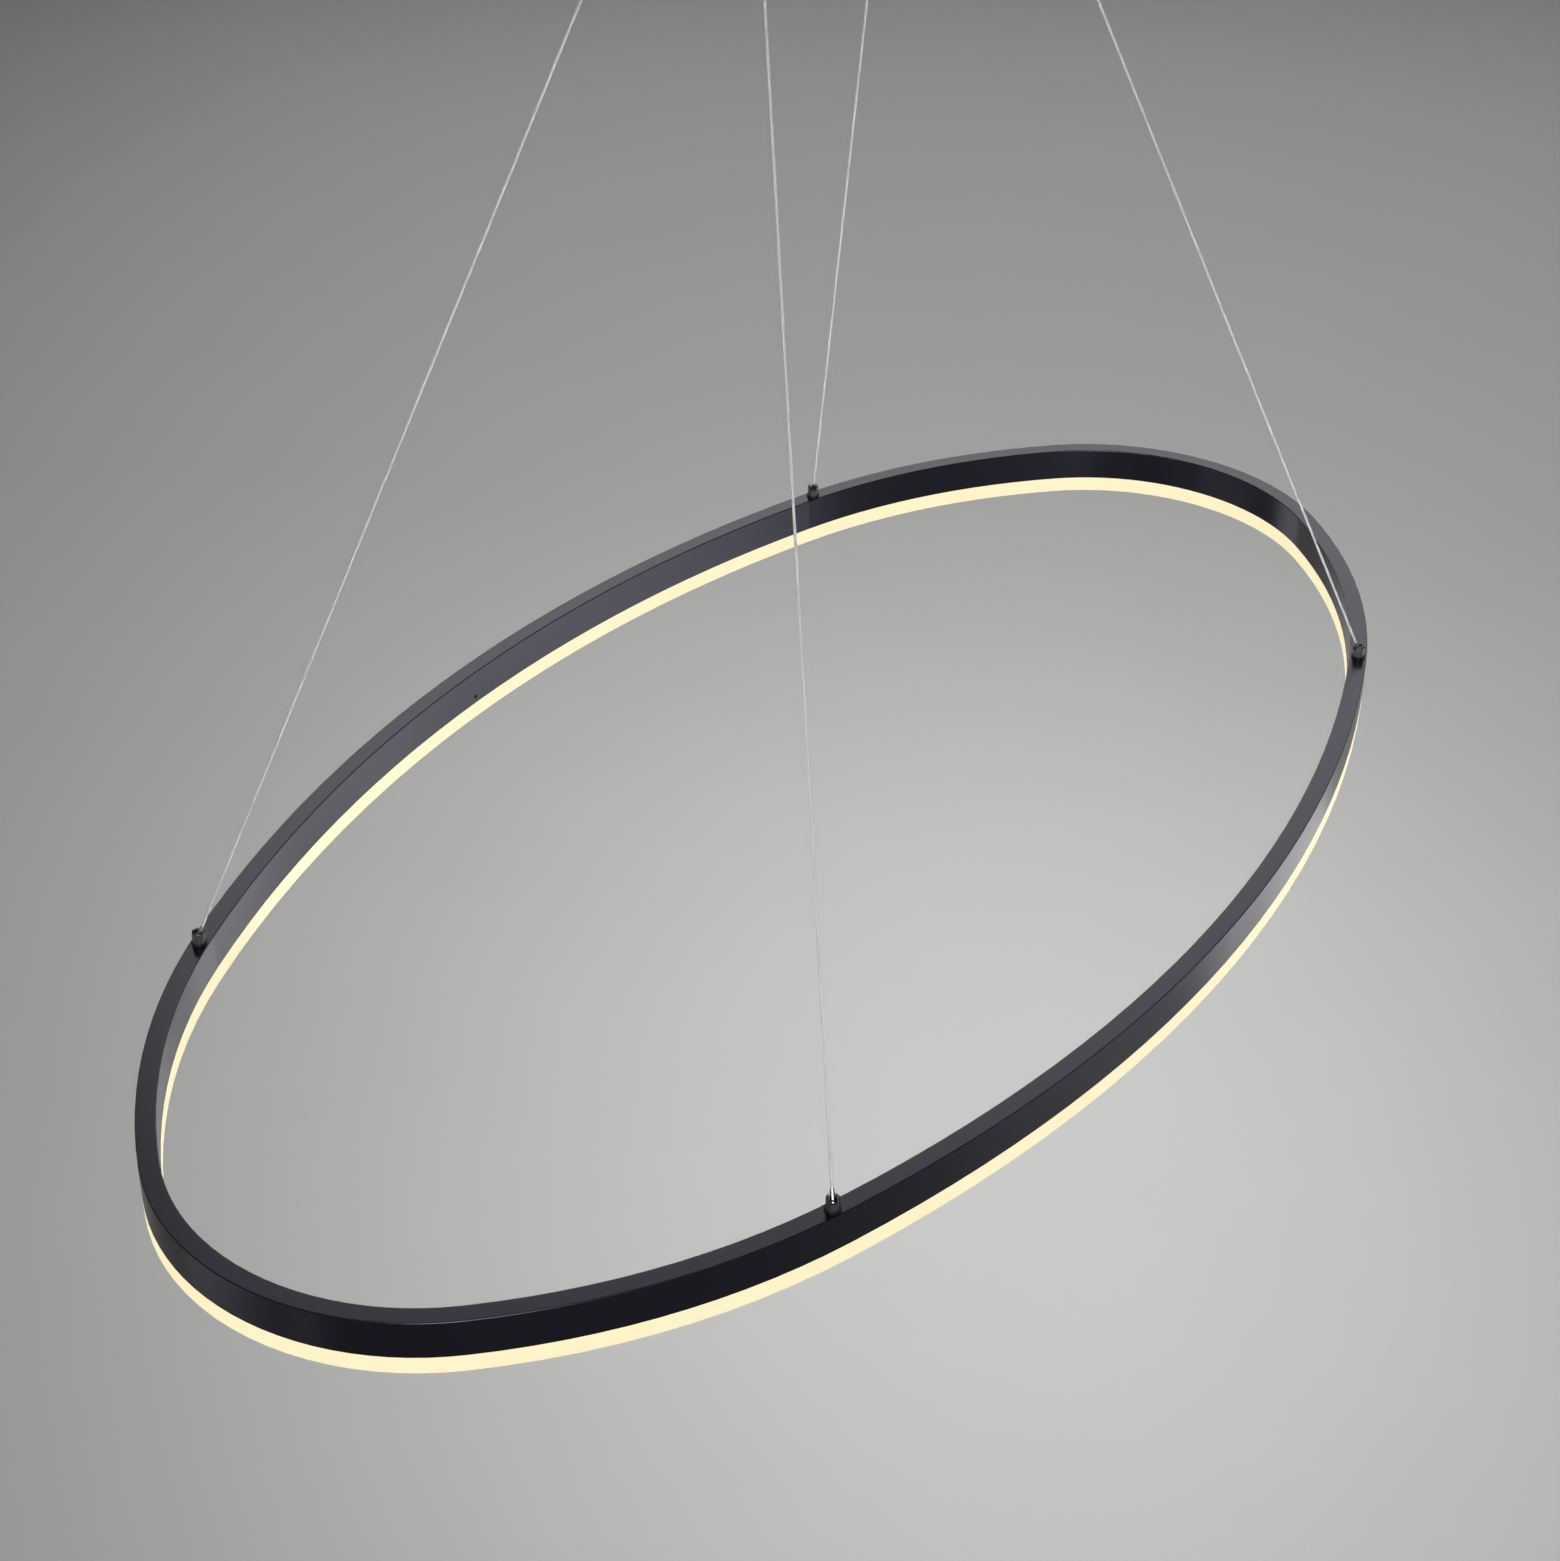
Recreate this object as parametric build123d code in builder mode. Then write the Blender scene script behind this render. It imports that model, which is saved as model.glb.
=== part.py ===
"""Oval LED pendant lamp hung on four wires from a slim ceiling canopy.

Millimetres, +Z up, X along the long axis of the oval. The origin is on the ceiling,
at the middle of the canopy, so the lamp hangs below it.
"""

import os
from math import asin, cos, degrees, radians, sin

from build123d import *

os.makedirs("parts", exist_ok=True)

# Oval light body, outside sizes
OVAL_LENGTH = 1000.0
OVAL_WIDTH = 516.0
PROFILE_WIDTH = 10.5
PROFILE_HEIGHT = 21.0
DIFFUSER_DROP = 10.0

# The oval is eight tangent arcs: ends, shoulders and sides
END_RADIUS = 143.0
END_ANGLE = 42.0
SHOULDER_ANGLE = 70.5

# Channel section
SIDE_WALL = 1.2
TOP_WEB = 1.6
CHAMBER_HEIGHT = 7.6
MIDDLE_WEB = 1.2
EDGE_ROUND = 0.5
SLIDE_GAP = 0.1
CUT_PAST = 1.0

# Diffuser section
DIFFUSER_LEG = 1.0
LEG_HEIGHT = 3.2
DIFFUSER_FLOOR = 1.5
BARB_HEIGHT = 0.8
BARB_DEPTH = 0.3
BARB_FROM_TOP = 0.7
DIFFUSER_ROUND = 0.8

# LED tape
TAPE_WIDTH = 5.0
TAPE_THICKNESS = 0.3
CHIP_LENGTH = 3.5
CHIP_WIDTH = 2.8
CHIP_HEIGHT = 0.8
CHIP_COUNT = 144

# Joints of the two channel halves
SPLICE_BAR_LENGTH = 40.0
SPLICE_PLATE_LENGTH = 44.0
SPLICE_PLATE_THICKNESS = 1.8
SPLICE_PLATE_HEIGHT = 6.5
SPLICE_SCREW_OFFSET = -4.0
SPLICE_SCREW_DROP = 16.9
SPLICE_SCREW_DIAMETER = 2.5
SPLICE_SCREW_LENGTH = 2.8
SPLICE_SOCKET_DEPTH = 0.9
NOTCH_MARGIN = 2.0

# Wire holders on the light body
HANGER_NORMAL = 69.4
COLLAR_DIAMETER = 8.4
COLLAR_HEIGHT = 1.0
BUSH_DIAMETER = 5.0
HOLE_GAP = 0.1
BARREL_DIAMETER = 7.0
BARREL_HEIGHT = 6.8
BARREL_ROUND = 0.9
BARREL_LIP = 1.2
LIP_BORE = 3.6
BALL_BORE = 4.6
SLOT_WIDTH = 3.4
SLOT_DEPTH = 2.4
STUD_DIAMETER = 3.0
STUD_HEAD_DIAMETER = 5.0
STUD_HEAD_HEIGHT = 1.2
STUD_BELOW_TOP = 6.5
HANGER_WASHER_DIAMETER = 6.6
HANGER_WASHER_THICKNESS = 0.6
LUG_DIAMETER = 6.4
LUG_THICKNESS = 0.5
LUG_TONGUE = 8.0
LUG_TONGUE_WIDTH = 2.4
HANGER_NUT_ACROSS = 5.5
HANGER_NUT_HEIGHT = 2.4

# Feed leads inside the channel
FEED_DIAMETER = 1.6
FEED_START = 5.0
FEED_RUN = 18.0
FEED_BEND = 2.5
FEED_HOLE = 2.4

# Suspension wires and their ends
WIRE_DIAMETER = 1.5
HANG_DROP = 653.0
FERRULE_BALL = 4.0
FERRULE_BASE = 3.0
FERRULE_TIP = 2.2
FERRULE_LENGTH = 6.5
FERRULE_BORE_DEPTH = 2.5

# Canopy
CANOPY_LENGTH = 320.0
CANOPY_WIDTH = 56.0
CANOPY_HEIGHT = 32.0
CANOPY_WALL = 1.5
CANOPY_ROUND = 3.0
PLATE_THICKNESS = 2.0
PLATE_GAP = 0.5
TAB_WIDTH = 16.0
TAB_HEIGHT = 12.0
TAB_X = 50.0
SIDE_SCREW_DROP = 9.0
CEILING_HOLE_SPACING = 200.0
CEILING_HOLE = 5.2
CABLE_HOLE_FROM_END = 14.0
CABLE_HOLE = 13.0
CABLE_BORE = 9.0
GROMMET_FLANGE = 17.0
GROMMET_LIP = 1.5

# M3 screws of the canopy
SCREW_DIAMETER = 3.0
SCREW_HEAD = 5.6
SCREW_HEAD_HEIGHT = 1.8
SCREW_LENGTH = 5.0
DRIVE_SLOT = 0.7
DRIVE_SLOT_DEPTH = 0.9

# LED driver
DRIVER_LENGTH = 120.0
DRIVER_WIDTH = 34.0
DRIVER_DEPTH = 18.0
DRIVER_WALL = 1.5
DRIVER_LID = 1.8
LID_LIP = 2.0
EAR_LENGTH = 8.0
EAR_WIDTH = 12.0
EAR_THICKNESS = 2.0
POST_DIAMETER = 3.0
POST_HEIGHT = 2.5
BOARD_THICKNESS = 1.6
BOARD_MARGIN = 2.5
SOLDER_GAP = 0.1
TRANSFORMER_X = 4.0
TRANSFORMER_LENGTH = 22.0
TRANSFORMER_WIDTH = 18.0
CHOKE_X = -46.0
CHOKE_Y = 3.0
CHOKE_SIZE = 11.0
TRANSISTOR_X = -14.0
TRANSISTOR_WIDTH = 10.0
TRANSISTOR_DEPTH = 5.0
SHORT_PART = 1.0
CAPACITORS = ((-29.0, -4.0, 10.0), (26.0, 5.0, 8.0), (37.0, -5.0, 8.0), (48.0, 4.0, 8.0))

# Terminal block and earth screw
BLOCK_LENGTH = 20.0
BLOCK_WIDTH = 23.0
BLOCK_HEIGHT = 13.0
BLOCK_CHAMFER = 0.8
BLOCK_FROM_GROMMET = 3.5
POLE_PITCH = 7.0
POLE_BORE = 3.6
POLE_DROP = 7.0
TERMINAL_SCREW = 3.0
EARTH_FROM_BLOCK = 4.0
EARTH_Y = 19.0

# Leads in the canopy
LEAD_DIAMETER = 1.8
LEAD_BEND = 3.0
LEAD_LANE = 7.0
MAINS_OUT = 6.0
MAINS_SPREAD = 12.0
EARTH_RISE = 5.0
EARTH_BEND = 1.5
OUTPUT_OUT = 8.0
OUTPUT_SPREAD = 4.0
TONGUE_INSET = 2.0

# Wire grippers
GRIPPER_SPACING = 156.0
WIRE_GAP = 4.4
BUSH_FLANGE = 1.0
FLANGE_DIAMETER = 18.0
FLANGE_HEIGHT = 8.0
FLANGE_CHAMFER = 1.0
NECK_DIAMETER = 14.0
NECK_HEIGHT = 14.0
NOSE_DIAMETER = 9.6
NOSE_OUT = 6.0
NOSE_ROUND = 0.4
NOSE_IN = 2.0
PLUNGER_TRAVEL = 2.5
TRAVEL_SPARE = 0.5
CAGE_DIAMETER = 7.6
CAGE_HEIGHT = 12.0
RUN_GAP = 0.3
CONE_RISE = 0.05
CAP_THICKNESS = 2.0
CAP_BORE = 6.4
WIRE_BORE = 2.5
FLARE_MOUTH = 4.2
FLARE_DEPTH = 2.0
PIVOT_ABOVE_MOUTH = 1.4
BALL_DIAMETER = 2.6
BALL_GAP = 0.05
BALL_BELOW_CAGE_TOP = 3.0
SPRING_COIL = 7.0
SPRING_WIRE = 0.7
SPRING_PITCH = 1.45
BUSH_SLEEVE = 16.2
GRIPPER_WASHER = 20.0
GRIPPER_LUG_TONGUE = 20.0
GRIPPER_LUG_WIDTH = 6.0
GRIPPER_NUT_ACROSS = 19.0
GRIPPER_NUT_HEIGHT = 4.0
TAIL_BELOW_CEILING = 10.0

CORNERS = (
    ("front_left", -1, -1),
    ("front_right", 1, -1),
    ("rear_right", 1, 1),
    ("rear_left", -1, 1),
)
ENDS = (("left", -1), ("right", 1))

# Heights, counted from the ceiling
canopy_bottom = -CANOPY_HEIGHT
canopy_floor = canopy_bottom + CANOPY_WALL
plate_bottom = -PLATE_THICKNESS
flange_top = canopy_bottom - BUSH_FLANGE
flange_bottom = flange_top - FLANGE_HEIGHT
nose_bottom = flange_bottom - NOSE_OUT
nose_top = flange_bottom + NOSE_IN
pocket_top = nose_top + PLUNGER_TRAVEL + TRAVEL_SPARE
cage_top = nose_top + CAGE_HEIGHT
neck_top = flange_top + NECK_HEIGHT
cap_bottom = neck_top - CAP_THICKNESS
wire_pivot = nose_bottom + PIVOT_ABOVE_MOUTH
ring_top = wire_pivot - HANG_DROP
web_bottom = ring_top - TOP_WEB
chamber_bottom = web_bottom - CHAMBER_HEIGHT
tape_top = chamber_bottom - MIDDLE_WEB
channel_bottom = ring_top - PROFILE_HEIGHT
ring_bottom = channel_bottom - DIFFUSER_DROP
half_profile = PROFILE_WIDTH / 2
half_cavity = half_profile - SIDE_WALL
leg_outside = half_cavity - SLIDE_GAP
leg_inside = leg_outside - DIFFUSER_LEG
leg_top = channel_bottom + LEG_HEIGHT
barb_top = leg_top - BARB_FROM_TOP
barb_bottom = barb_top - BARB_HEIGHT
wire_radius = WIRE_DIAMETER / 2
lead_radius = LEAD_DIAMETER / 2

# Radii and centres of the arcs of the oval's centre line
half_length = (OVAL_LENGTH - PROFILE_WIDTH) / 2
half_width = (OVAL_WIDTH - PROFILE_WIDTH) / 2
end_cos = cos(radians(END_ANGLE))
end_sin = sin(radians(END_ANGLE))
side_cos = cos(radians(SHOULDER_ANGLE))
side_sin = sin(radians(SHOULDER_ANGLE))
reach_x = END_RADIUS - half_length - END_RADIUS * end_cos
reach_y = half_width - END_RADIUS * end_sin
arc_scale = (side_cos - end_cos) * (1 - side_sin) + side_cos * (side_sin - end_sin)
shoulder_radius = (reach_x * (1 - side_sin) + side_cos * reach_y) / arc_scale
side_radius = ((side_cos - end_cos) * reach_y - (side_sin - end_sin) * reach_x) / arc_scale
end_center = half_length - END_RADIUS
shoulder_x = end_center + (END_RADIUS - shoulder_radius) * end_cos
shoulder_y = (END_RADIUS - shoulder_radius) * end_sin
side_center = half_width - side_radius

# Lengths of the arcs in a quarter of the oval
end_run = END_RADIUS * radians(END_ANGLE)
shoulder_run = shoulder_radius * radians(SHOULDER_ANGLE - END_ANGLE)
side_run = side_radius * radians(90 - SHOULDER_ANGLE)
quarter_run = end_run + shoulder_run + side_run


def at_normal(normal, offset=0.0):
    """Point of the first quarter of the oval whose outward normal has this angle."""
    turn = radians(normal)
    if normal <= END_ANGLE:
        center_x, center_y, radius = end_center, 0.0, END_RADIUS
    elif normal <= SHOULDER_ANGLE:
        center_x, center_y, radius = shoulder_x, shoulder_y, shoulder_radius
    else:
        center_x, center_y, radius = 0.0, side_center, side_radius
    return center_x + (radius + offset) * cos(turn), center_y + (radius + offset) * sin(turn)


def at_run(run):
    """Point and normal angle at a distance along the first quarter of the oval."""
    if run <= end_run:
        normal = degrees(run / END_RADIUS)
    elif run <= end_run + shoulder_run:
        normal = END_ANGLE + degrees((run - end_run) / shoulder_radius)
    else:
        normal = SHOULDER_ANGLE + degrees((run - end_run - shoulder_run) / side_radius)
    return at_normal(normal) + (normal,)


def oval(offset, mode=Mode.ADD):
    """Oval face, its edge this far outside the centre line."""
    end = END_RADIUS + offset
    shoulder = shoulder_radius + offset
    side = side_radius + offset
    sweep = SHOULDER_ANGLE - END_ANGLE
    side_sweep = 180 - 2 * SHOULDER_ANGLE
    with BuildLine() as outline:
        CenterArc((end_center, 0), end, -END_ANGLE, 2 * END_ANGLE)
        CenterArc((shoulder_x, shoulder_y), shoulder, END_ANGLE, sweep)
        CenterArc((0, side_center), side, SHOULDER_ANGLE, side_sweep)
        CenterArc((-shoulder_x, shoulder_y), shoulder, 180 - SHOULDER_ANGLE, sweep)
        CenterArc((-end_center, 0), end, 180 - END_ANGLE, 2 * END_ANGLE)
        CenterArc((-shoulder_x, -shoulder_y), shoulder, 180 + END_ANGLE, sweep)
        CenterArc((0, -side_center), side, 180 + SHOULDER_ANGLE, side_sweep)
        CenterArc((shoulder_x, -shoulder_y), shoulder, 360 - SHOULDER_ANGLE, sweep)
    make_face(outline.edges(), mode=mode)


def band(outer, inner, low, high, mode=Mode.ADD):
    """Oval ring between two offsets from the centre line and two heights."""
    with BuildSketch(Plane.XY.offset(low)) as face:
        oval(outer)
        oval(inner, Mode.SUBTRACT)
    extrude(face.sketch, amount=high - low, mode=mode)


def disc(x, y, low, high, diameter, mode=Mode.ADD):
    """Upright round piece between two heights."""
    with BuildSketch(Plane.XY.offset(low)) as face:
        with Locations((x, y)):
            Circle(diameter / 2)
    extrude(face.sketch, amount=high - low, mode=mode)


def block(x, y, size_x, size_y, low, high, mode=Mode.ADD):
    """Upright box about a centre, between two heights."""
    with BuildSketch(Plane.XY.offset(low)) as face:
        with Locations((x, y)):
            Rectangle(size_x, size_y)
    extrude(face.sketch, amount=high - low, mode=mode)


def rod(origin, direction, length, diameter, mode=Mode.ADD):
    """Round bar from a point along a direction."""
    with BuildSketch(Plane(origin=origin, z_dir=direction)) as face:
        Circle(diameter / 2)
    extrude(face.sketch, amount=length, mode=mode)


def lead(points, diameter, bend):
    """Insulated lead along straight runs with rounded bends."""
    with BuildLine() as route:
        FilletPolyline(*points, radius=bend)
    with BuildSketch(Plane(origin=points[0], z_dir=route.line % 0)) as section:
        Circle(diameter / 2)
    sweep(section.sketch, path=route.line)


def hexagon(x, y, low, high, across, bore):
    """Nut between two heights."""
    with BuildSketch(Plane.XY.offset(low)) as face:
        with Locations((x, y)):
            RegularPolygon(across / 2, 6, major_radius=False)
            Circle(bore / 2, mode=Mode.SUBTRACT)
    extrude(face.sketch, amount=high - low)


def pan_screw(tip_plane, length):
    """Slotted pan-head screw, its head's seat on the plane and its shank along the plane's normal."""
    with BuildSketch(tip_plane) as shank:
        Circle(SCREW_DIAMETER / 2)
    extrude(shank.sketch, amount=length)
    with BuildSketch(tip_plane) as head:
        Circle(SCREW_HEAD / 2)
    extrude(head.sketch, amount=-SCREW_HEAD_HEIGHT)
    with BuildSketch(tip_plane.offset(-SCREW_HEAD_HEIGHT)) as slot:
        Rectangle(SCREW_HEAD + CUT_PAST, DRIVE_SLOT)
    extrude(slot.sketch, amount=DRIVE_SLOT_DEPTH, mode=Mode.SUBTRACT)


# Places of the wire holders, and the way each wire runs
hanger_x, hanger_y = at_normal(HANGER_NORMAL)
collar_top = ring_top + COLLAR_HEIGHT
barrel_top = collar_top + BARREL_HEIGHT
head_top = collar_top + STUD_HEAD_HEIGHT
ball_height = barrel_top - BARREL_LIP - FERRULE_BALL / 2 - SLIDE_GAP
washer_bottom = web_bottom - HANGER_WASHER_THICKNESS
lug_bottom = washer_bottom - LUG_THICKNESS
nut_bottom = lug_bottom - HANGER_NUT_HEIGHT
feed_height = lug_bottom - FEED_DIAMETER / 2
hanger_turn = radians(HANGER_NORMAL)
gripper_x = GRIPPER_SPACING / 2
hangers = []
for name, side_x, side_y in CORNERS:
    foot = Vector(side_x * hanger_x, side_y * hanger_y, ball_height)
    pivot = Vector(side_x * gripper_x, side_y * WIRE_GAP / 2, wire_pivot)
    along = (pivot - foot).normalized()
    lean = Vector(along.X, along.Y, 0).normalized()
    tangent = Vector(-side_x * sin(hanger_turn), side_y * cos(hanger_turn), 0)
    hangers.append((name, foot, pivot, along, lean, tangent))

# Joints of the channel halves: grub screws in the inner wall, beside the middle of each long side
splice_normal = 90 - degrees(asin(SPLICE_SCREW_OFFSET / (side_radius - half_profile)))
splice_x, splice_wall_y = at_normal(splice_normal, -half_profile)
splice_height = ring_top - SPLICE_SCREW_DROP
splice_hole = SPLICE_SCREW_DIAMETER + 2 * HOLE_GAP
plate_outside = -(half_cavity - SLIDE_GAP)
plate_inside = plate_outside + SPLICE_PLATE_THICKNESS
plate_low = splice_height - SPLICE_PLATE_HEIGHT / 2
plate_high = splice_height + SPLICE_PLATE_HEIGHT / 2

# Aluminium channel, in two halves
for side, keep in (("left", Keep.BOTTOM), ("right", Keep.TOP)):
    with BuildPart() as profile:
        band(half_profile, -half_profile, channel_bottom, ring_top)
        fillet(profile.faces().sort_by(Axis.Z)[-1].edges(), EDGE_ROUND)
        band(half_cavity, -half_cavity, chamber_bottom, web_bottom, Mode.SUBTRACT)
        band(half_cavity, -half_cavity, channel_bottom, tape_top, Mode.SUBTRACT)
        groove = half_cavity + BARB_DEPTH + SLIDE_GAP
        band(groove, -groove, barb_bottom - SLIDE_GAP, barb_top + SLIDE_GAP, Mode.SUBTRACT)
        for name, foot, pivot, along, lean, tangent in hangers:
            disc(foot.X, foot.Y, web_bottom, ring_top, BUSH_DIAMETER + 2 * HOLE_GAP, Mode.SUBTRACT)
            feed = foot + tangent * FEED_RUN
            disc(feed.X, feed.Y, tape_top, chamber_bottom, FEED_HOLE, Mode.SUBTRACT)
        for flip in (-1, 1):
            start = (flip * splice_x, flip * (splice_wall_y - CUT_PAST), splice_height)
            rod(start, (0, flip, 0), SIDE_WALL + 2 * CUT_PAST, splice_hole, Mode.SUBTRACT)
        split(bisect_by=Plane.YZ, keep=keep)
    profile.part.label = f"profile_{side}"
    export_step(profile.part, f"parts/profile_{side}.step")

# Opal diffuser, in two halves that bridge the channel's joints
notch_length = SPLICE_PLATE_LENGTH + 2 * NOTCH_MARGIN
for side, keep in (("front", Keep.TOP), ("rear", Keep.BOTTOM)):
    with BuildPart() as diffuser:
        band(half_profile, -half_profile, ring_bottom, channel_bottom)
        fillet(diffuser.faces().sort_by(Axis.Z)[0].edges(), DIFFUSER_ROUND)
        band(leg_outside, -leg_outside, channel_bottom, leg_top)
        barb = half_cavity + BARB_DEPTH
        band(barb, -barb, barb_bottom, barb_top)
        band(leg_inside, -leg_inside, ring_bottom + DIFFUSER_FLOOR, leg_top, Mode.SUBTRACT)
        for flip in (-1, 1):
            notch_y = flip * (half_width - half_cavity)
            block(0, notch_y, notch_length, half_cavity, channel_bottom, leg_top, Mode.SUBTRACT)
        split(bisect_by=Plane.XZ, keep=keep)
    diffuser.part.label = f"diffuser_{side}"
    export_step(diffuser.part, f"parts/diffuser_{side}.step")

# LED tape under the middle web
for side, keep in (("left", Keep.BOTTOM), ("right", Keep.TOP)):
    with BuildPart() as led_tape:
        band(TAPE_WIDTH / 2, -TAPE_WIDTH / 2, tape_top - TAPE_THICKNESS, tape_top)
        split(bisect_by=Plane.YZ, keep=keep)
    led_tape.part.label = f"led_tape_{side}"
    export_step(led_tape.part, f"parts/led_tape_{side}.step")

# LED chips, evenly spaced along the oval
chip_places = []
for index in range(CHIP_COUNT // 4):
    chip_x, chip_y, chip_normal = at_run((index + 0.5) * quarter_run / (CHIP_COUNT // 4))
    for side_x, side_y in ((1, 1), (-1, 1), (-1, -1), (1, -1)):
        chip_turn = chip_normal * side_x * side_y
        chip_places.append(Location((side_x * chip_x, side_y * chip_y), chip_turn))
with BuildPart() as led_chips:
    with BuildSketch(Plane.XY.offset(tape_top - TAPE_THICKNESS - CHIP_HEIGHT)):
        with Locations(*chip_places):
            Rectangle(CHIP_WIDTH, CHIP_LENGTH)
    extrude(amount=CHIP_HEIGHT)
led_chips.part.label = "led_chips"
export_step(led_chips.part, "parts/led_chips.step")

# Bars that line up the halves in the upper chamber
with BuildPart() as splice_bars:
    bar_half = half_cavity - 2 * SLIDE_GAP
    band(bar_half, -bar_half, chamber_bottom + SLIDE_GAP, web_bottom - SLIDE_GAP)
    block(0, 0, SPLICE_BAR_LENGTH, OVAL_WIDTH, chamber_bottom, web_bottom, Mode.INTERSECT)
splice_bars.part.label = "splice_bars"
export_step(splice_bars.part, "parts/splice_bars.step")

# Plates behind the inner wall, which the grub screws hold
with BuildPart() as splice_plates:
    band(plate_inside, plate_outside, plate_low, plate_high)
    block(0, 0, SPLICE_PLATE_LENGTH, OVAL_WIDTH, plate_low, plate_high, Mode.INTERSECT)
    for flip in (-1, 1):
        start = (flip * splice_x, flip * splice_wall_y, splice_height)
        rod(start, (0, flip, 0), PROFILE_WIDTH, splice_hole, Mode.SUBTRACT)
splice_plates.part.label = "splice_plates"
export_step(splice_plates.part, "parts/splice_plates.step")

with BuildPart() as splice_screws:
    for flip in (-1, 1):
        start = (flip * splice_x, flip * (splice_wall_y + HOLE_GAP), splice_height)
        rod(start, (0, flip, 0), SPLICE_SCREW_LENGTH, SPLICE_SCREW_DIAMETER)
        with BuildSketch(Plane(origin=start, z_dir=(0, flip, 0))) as hex_socket:
            RegularPolygon(SPLICE_SCREW_DIAMETER / 4, 6, major_radius=False)
        extrude(hex_socket.sketch, amount=SPLICE_SOCKET_DEPTH, mode=Mode.SUBTRACT)
splice_screws.part.label = "splice_screws"
export_step(splice_screws.part, "parts/splice_screws.step")

# Wire holders: barrels with a retaining lip and a slot along the wire's lean
for name, foot, pivot, along, lean, tangent in hangers:
    with BuildPart() as barrel:
        disc(foot.X, foot.Y, collar_top, barrel_top, BARREL_DIAMETER)
        fillet(barrel.faces().sort_by(Axis.Z)[-1].edges(), BARREL_ROUND)
        seat = STUD_HEAD_DIAMETER + 2 * HOLE_GAP
        disc(foot.X, foot.Y, collar_top, head_top, seat, Mode.SUBTRACT)
        disc(foot.X, foot.Y, collar_top, barrel_top - BARREL_LIP, BALL_BORE, Mode.SUBTRACT)
        disc(foot.X, foot.Y, collar_top, barrel_top, LIP_BORE, Mode.SUBTRACT)
        slot_plane = Plane(origin=(foot.X, foot.Y, barrel_top), x_dir=lean, z_dir=(0, 0, 1))
        with BuildSketch(slot_plane) as slot:
            Rectangle(BARREL_DIAMETER + CUT_PAST, SLOT_WIDTH)
        extrude(slot.sketch, amount=-SLOT_DEPTH, mode=Mode.SUBTRACT)
    barrel.part.label = f"wire_holder_{name}"
    export_step(barrel.part, f"parts/wire_holder_{name}.step")

# Screws that close the barrels from below and hold them to the channel
with BuildPart() as hanger_studs:
    for name, foot, pivot, along, lean, tangent in hangers:
        disc(foot.X, foot.Y, collar_top, head_top, STUD_HEAD_DIAMETER)
        disc(foot.X, foot.Y, ring_top - STUD_BELOW_TOP, collar_top, STUD_DIAMETER)
hanger_studs.part.label = "hanger_studs"
export_step(hanger_studs.part, "parts/hanger_studs.step")

stud_bore = STUD_DIAMETER + 2 * HOLE_GAP
with BuildPart() as hanger_bushes:
    for name, foot, pivot, along, lean, tangent in hangers:
        disc(foot.X, foot.Y, ring_top, collar_top, COLLAR_DIAMETER)
        disc(foot.X, foot.Y, web_bottom, ring_top, BUSH_DIAMETER)
        disc(foot.X, foot.Y, web_bottom, collar_top, stud_bore, Mode.SUBTRACT)
hanger_bushes.part.label = "hanger_bushes"
export_step(hanger_bushes.part, "parts/hanger_bushes.step")

with BuildPart() as hanger_washers:
    for name, foot, pivot, along, lean, tangent in hangers:
        disc(foot.X, foot.Y, washer_bottom, web_bottom, HANGER_WASHER_DIAMETER)
        disc(foot.X, foot.Y, washer_bottom, web_bottom, stud_bore, Mode.SUBTRACT)
hanger_washers.part.label = "hanger_washers"
export_step(hanger_washers.part, "parts/hanger_washers.step")

with BuildPart() as hanger_lugs:
    for name, foot, pivot, along, lean, tangent in hangers:
        lug_plane = Plane(origin=(foot.X, foot.Y, lug_bottom), x_dir=tangent, z_dir=(0, 0, 1))
        with BuildSketch(lug_plane) as lug:
            Circle(LUG_DIAMETER / 2)
            with Locations((LUG_TONGUE / 2, 0)):
                Rectangle(LUG_TONGUE, LUG_TONGUE_WIDTH)
            Circle(stud_bore / 2, mode=Mode.SUBTRACT)
        extrude(lug.sketch, amount=LUG_THICKNESS)
hanger_lugs.part.label = "hanger_lugs"
export_step(hanger_lugs.part, "parts/hanger_lugs.step")

with BuildPart() as hanger_nuts:
    for name, foot, pivot, along, lean, tangent in hangers:
        hexagon(foot.X, foot.Y, nut_bottom, lug_bottom, HANGER_NUT_ACROSS, stud_bore)
hanger_nuts.part.label = "hanger_nuts"
export_step(hanger_nuts.part, "parts/hanger_nuts.step")

# Leads from the lugs down to the LED tape
with BuildPart() as feed_leads:
    for name, foot, pivot, along, lean, tangent in hangers:
        base = Vector(foot.X, foot.Y, feed_height)
        begin = base + tangent * FEED_START
        corner = base + tangent * FEED_RUN
        finish = Vector(corner.X, corner.Y, tape_top)
        lead((begin, corner, finish), FEED_DIAMETER, FEED_BEND)
feed_leads.part.label = "feed_leads"
export_step(feed_leads.part, "parts/feed_leads.step")

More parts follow.
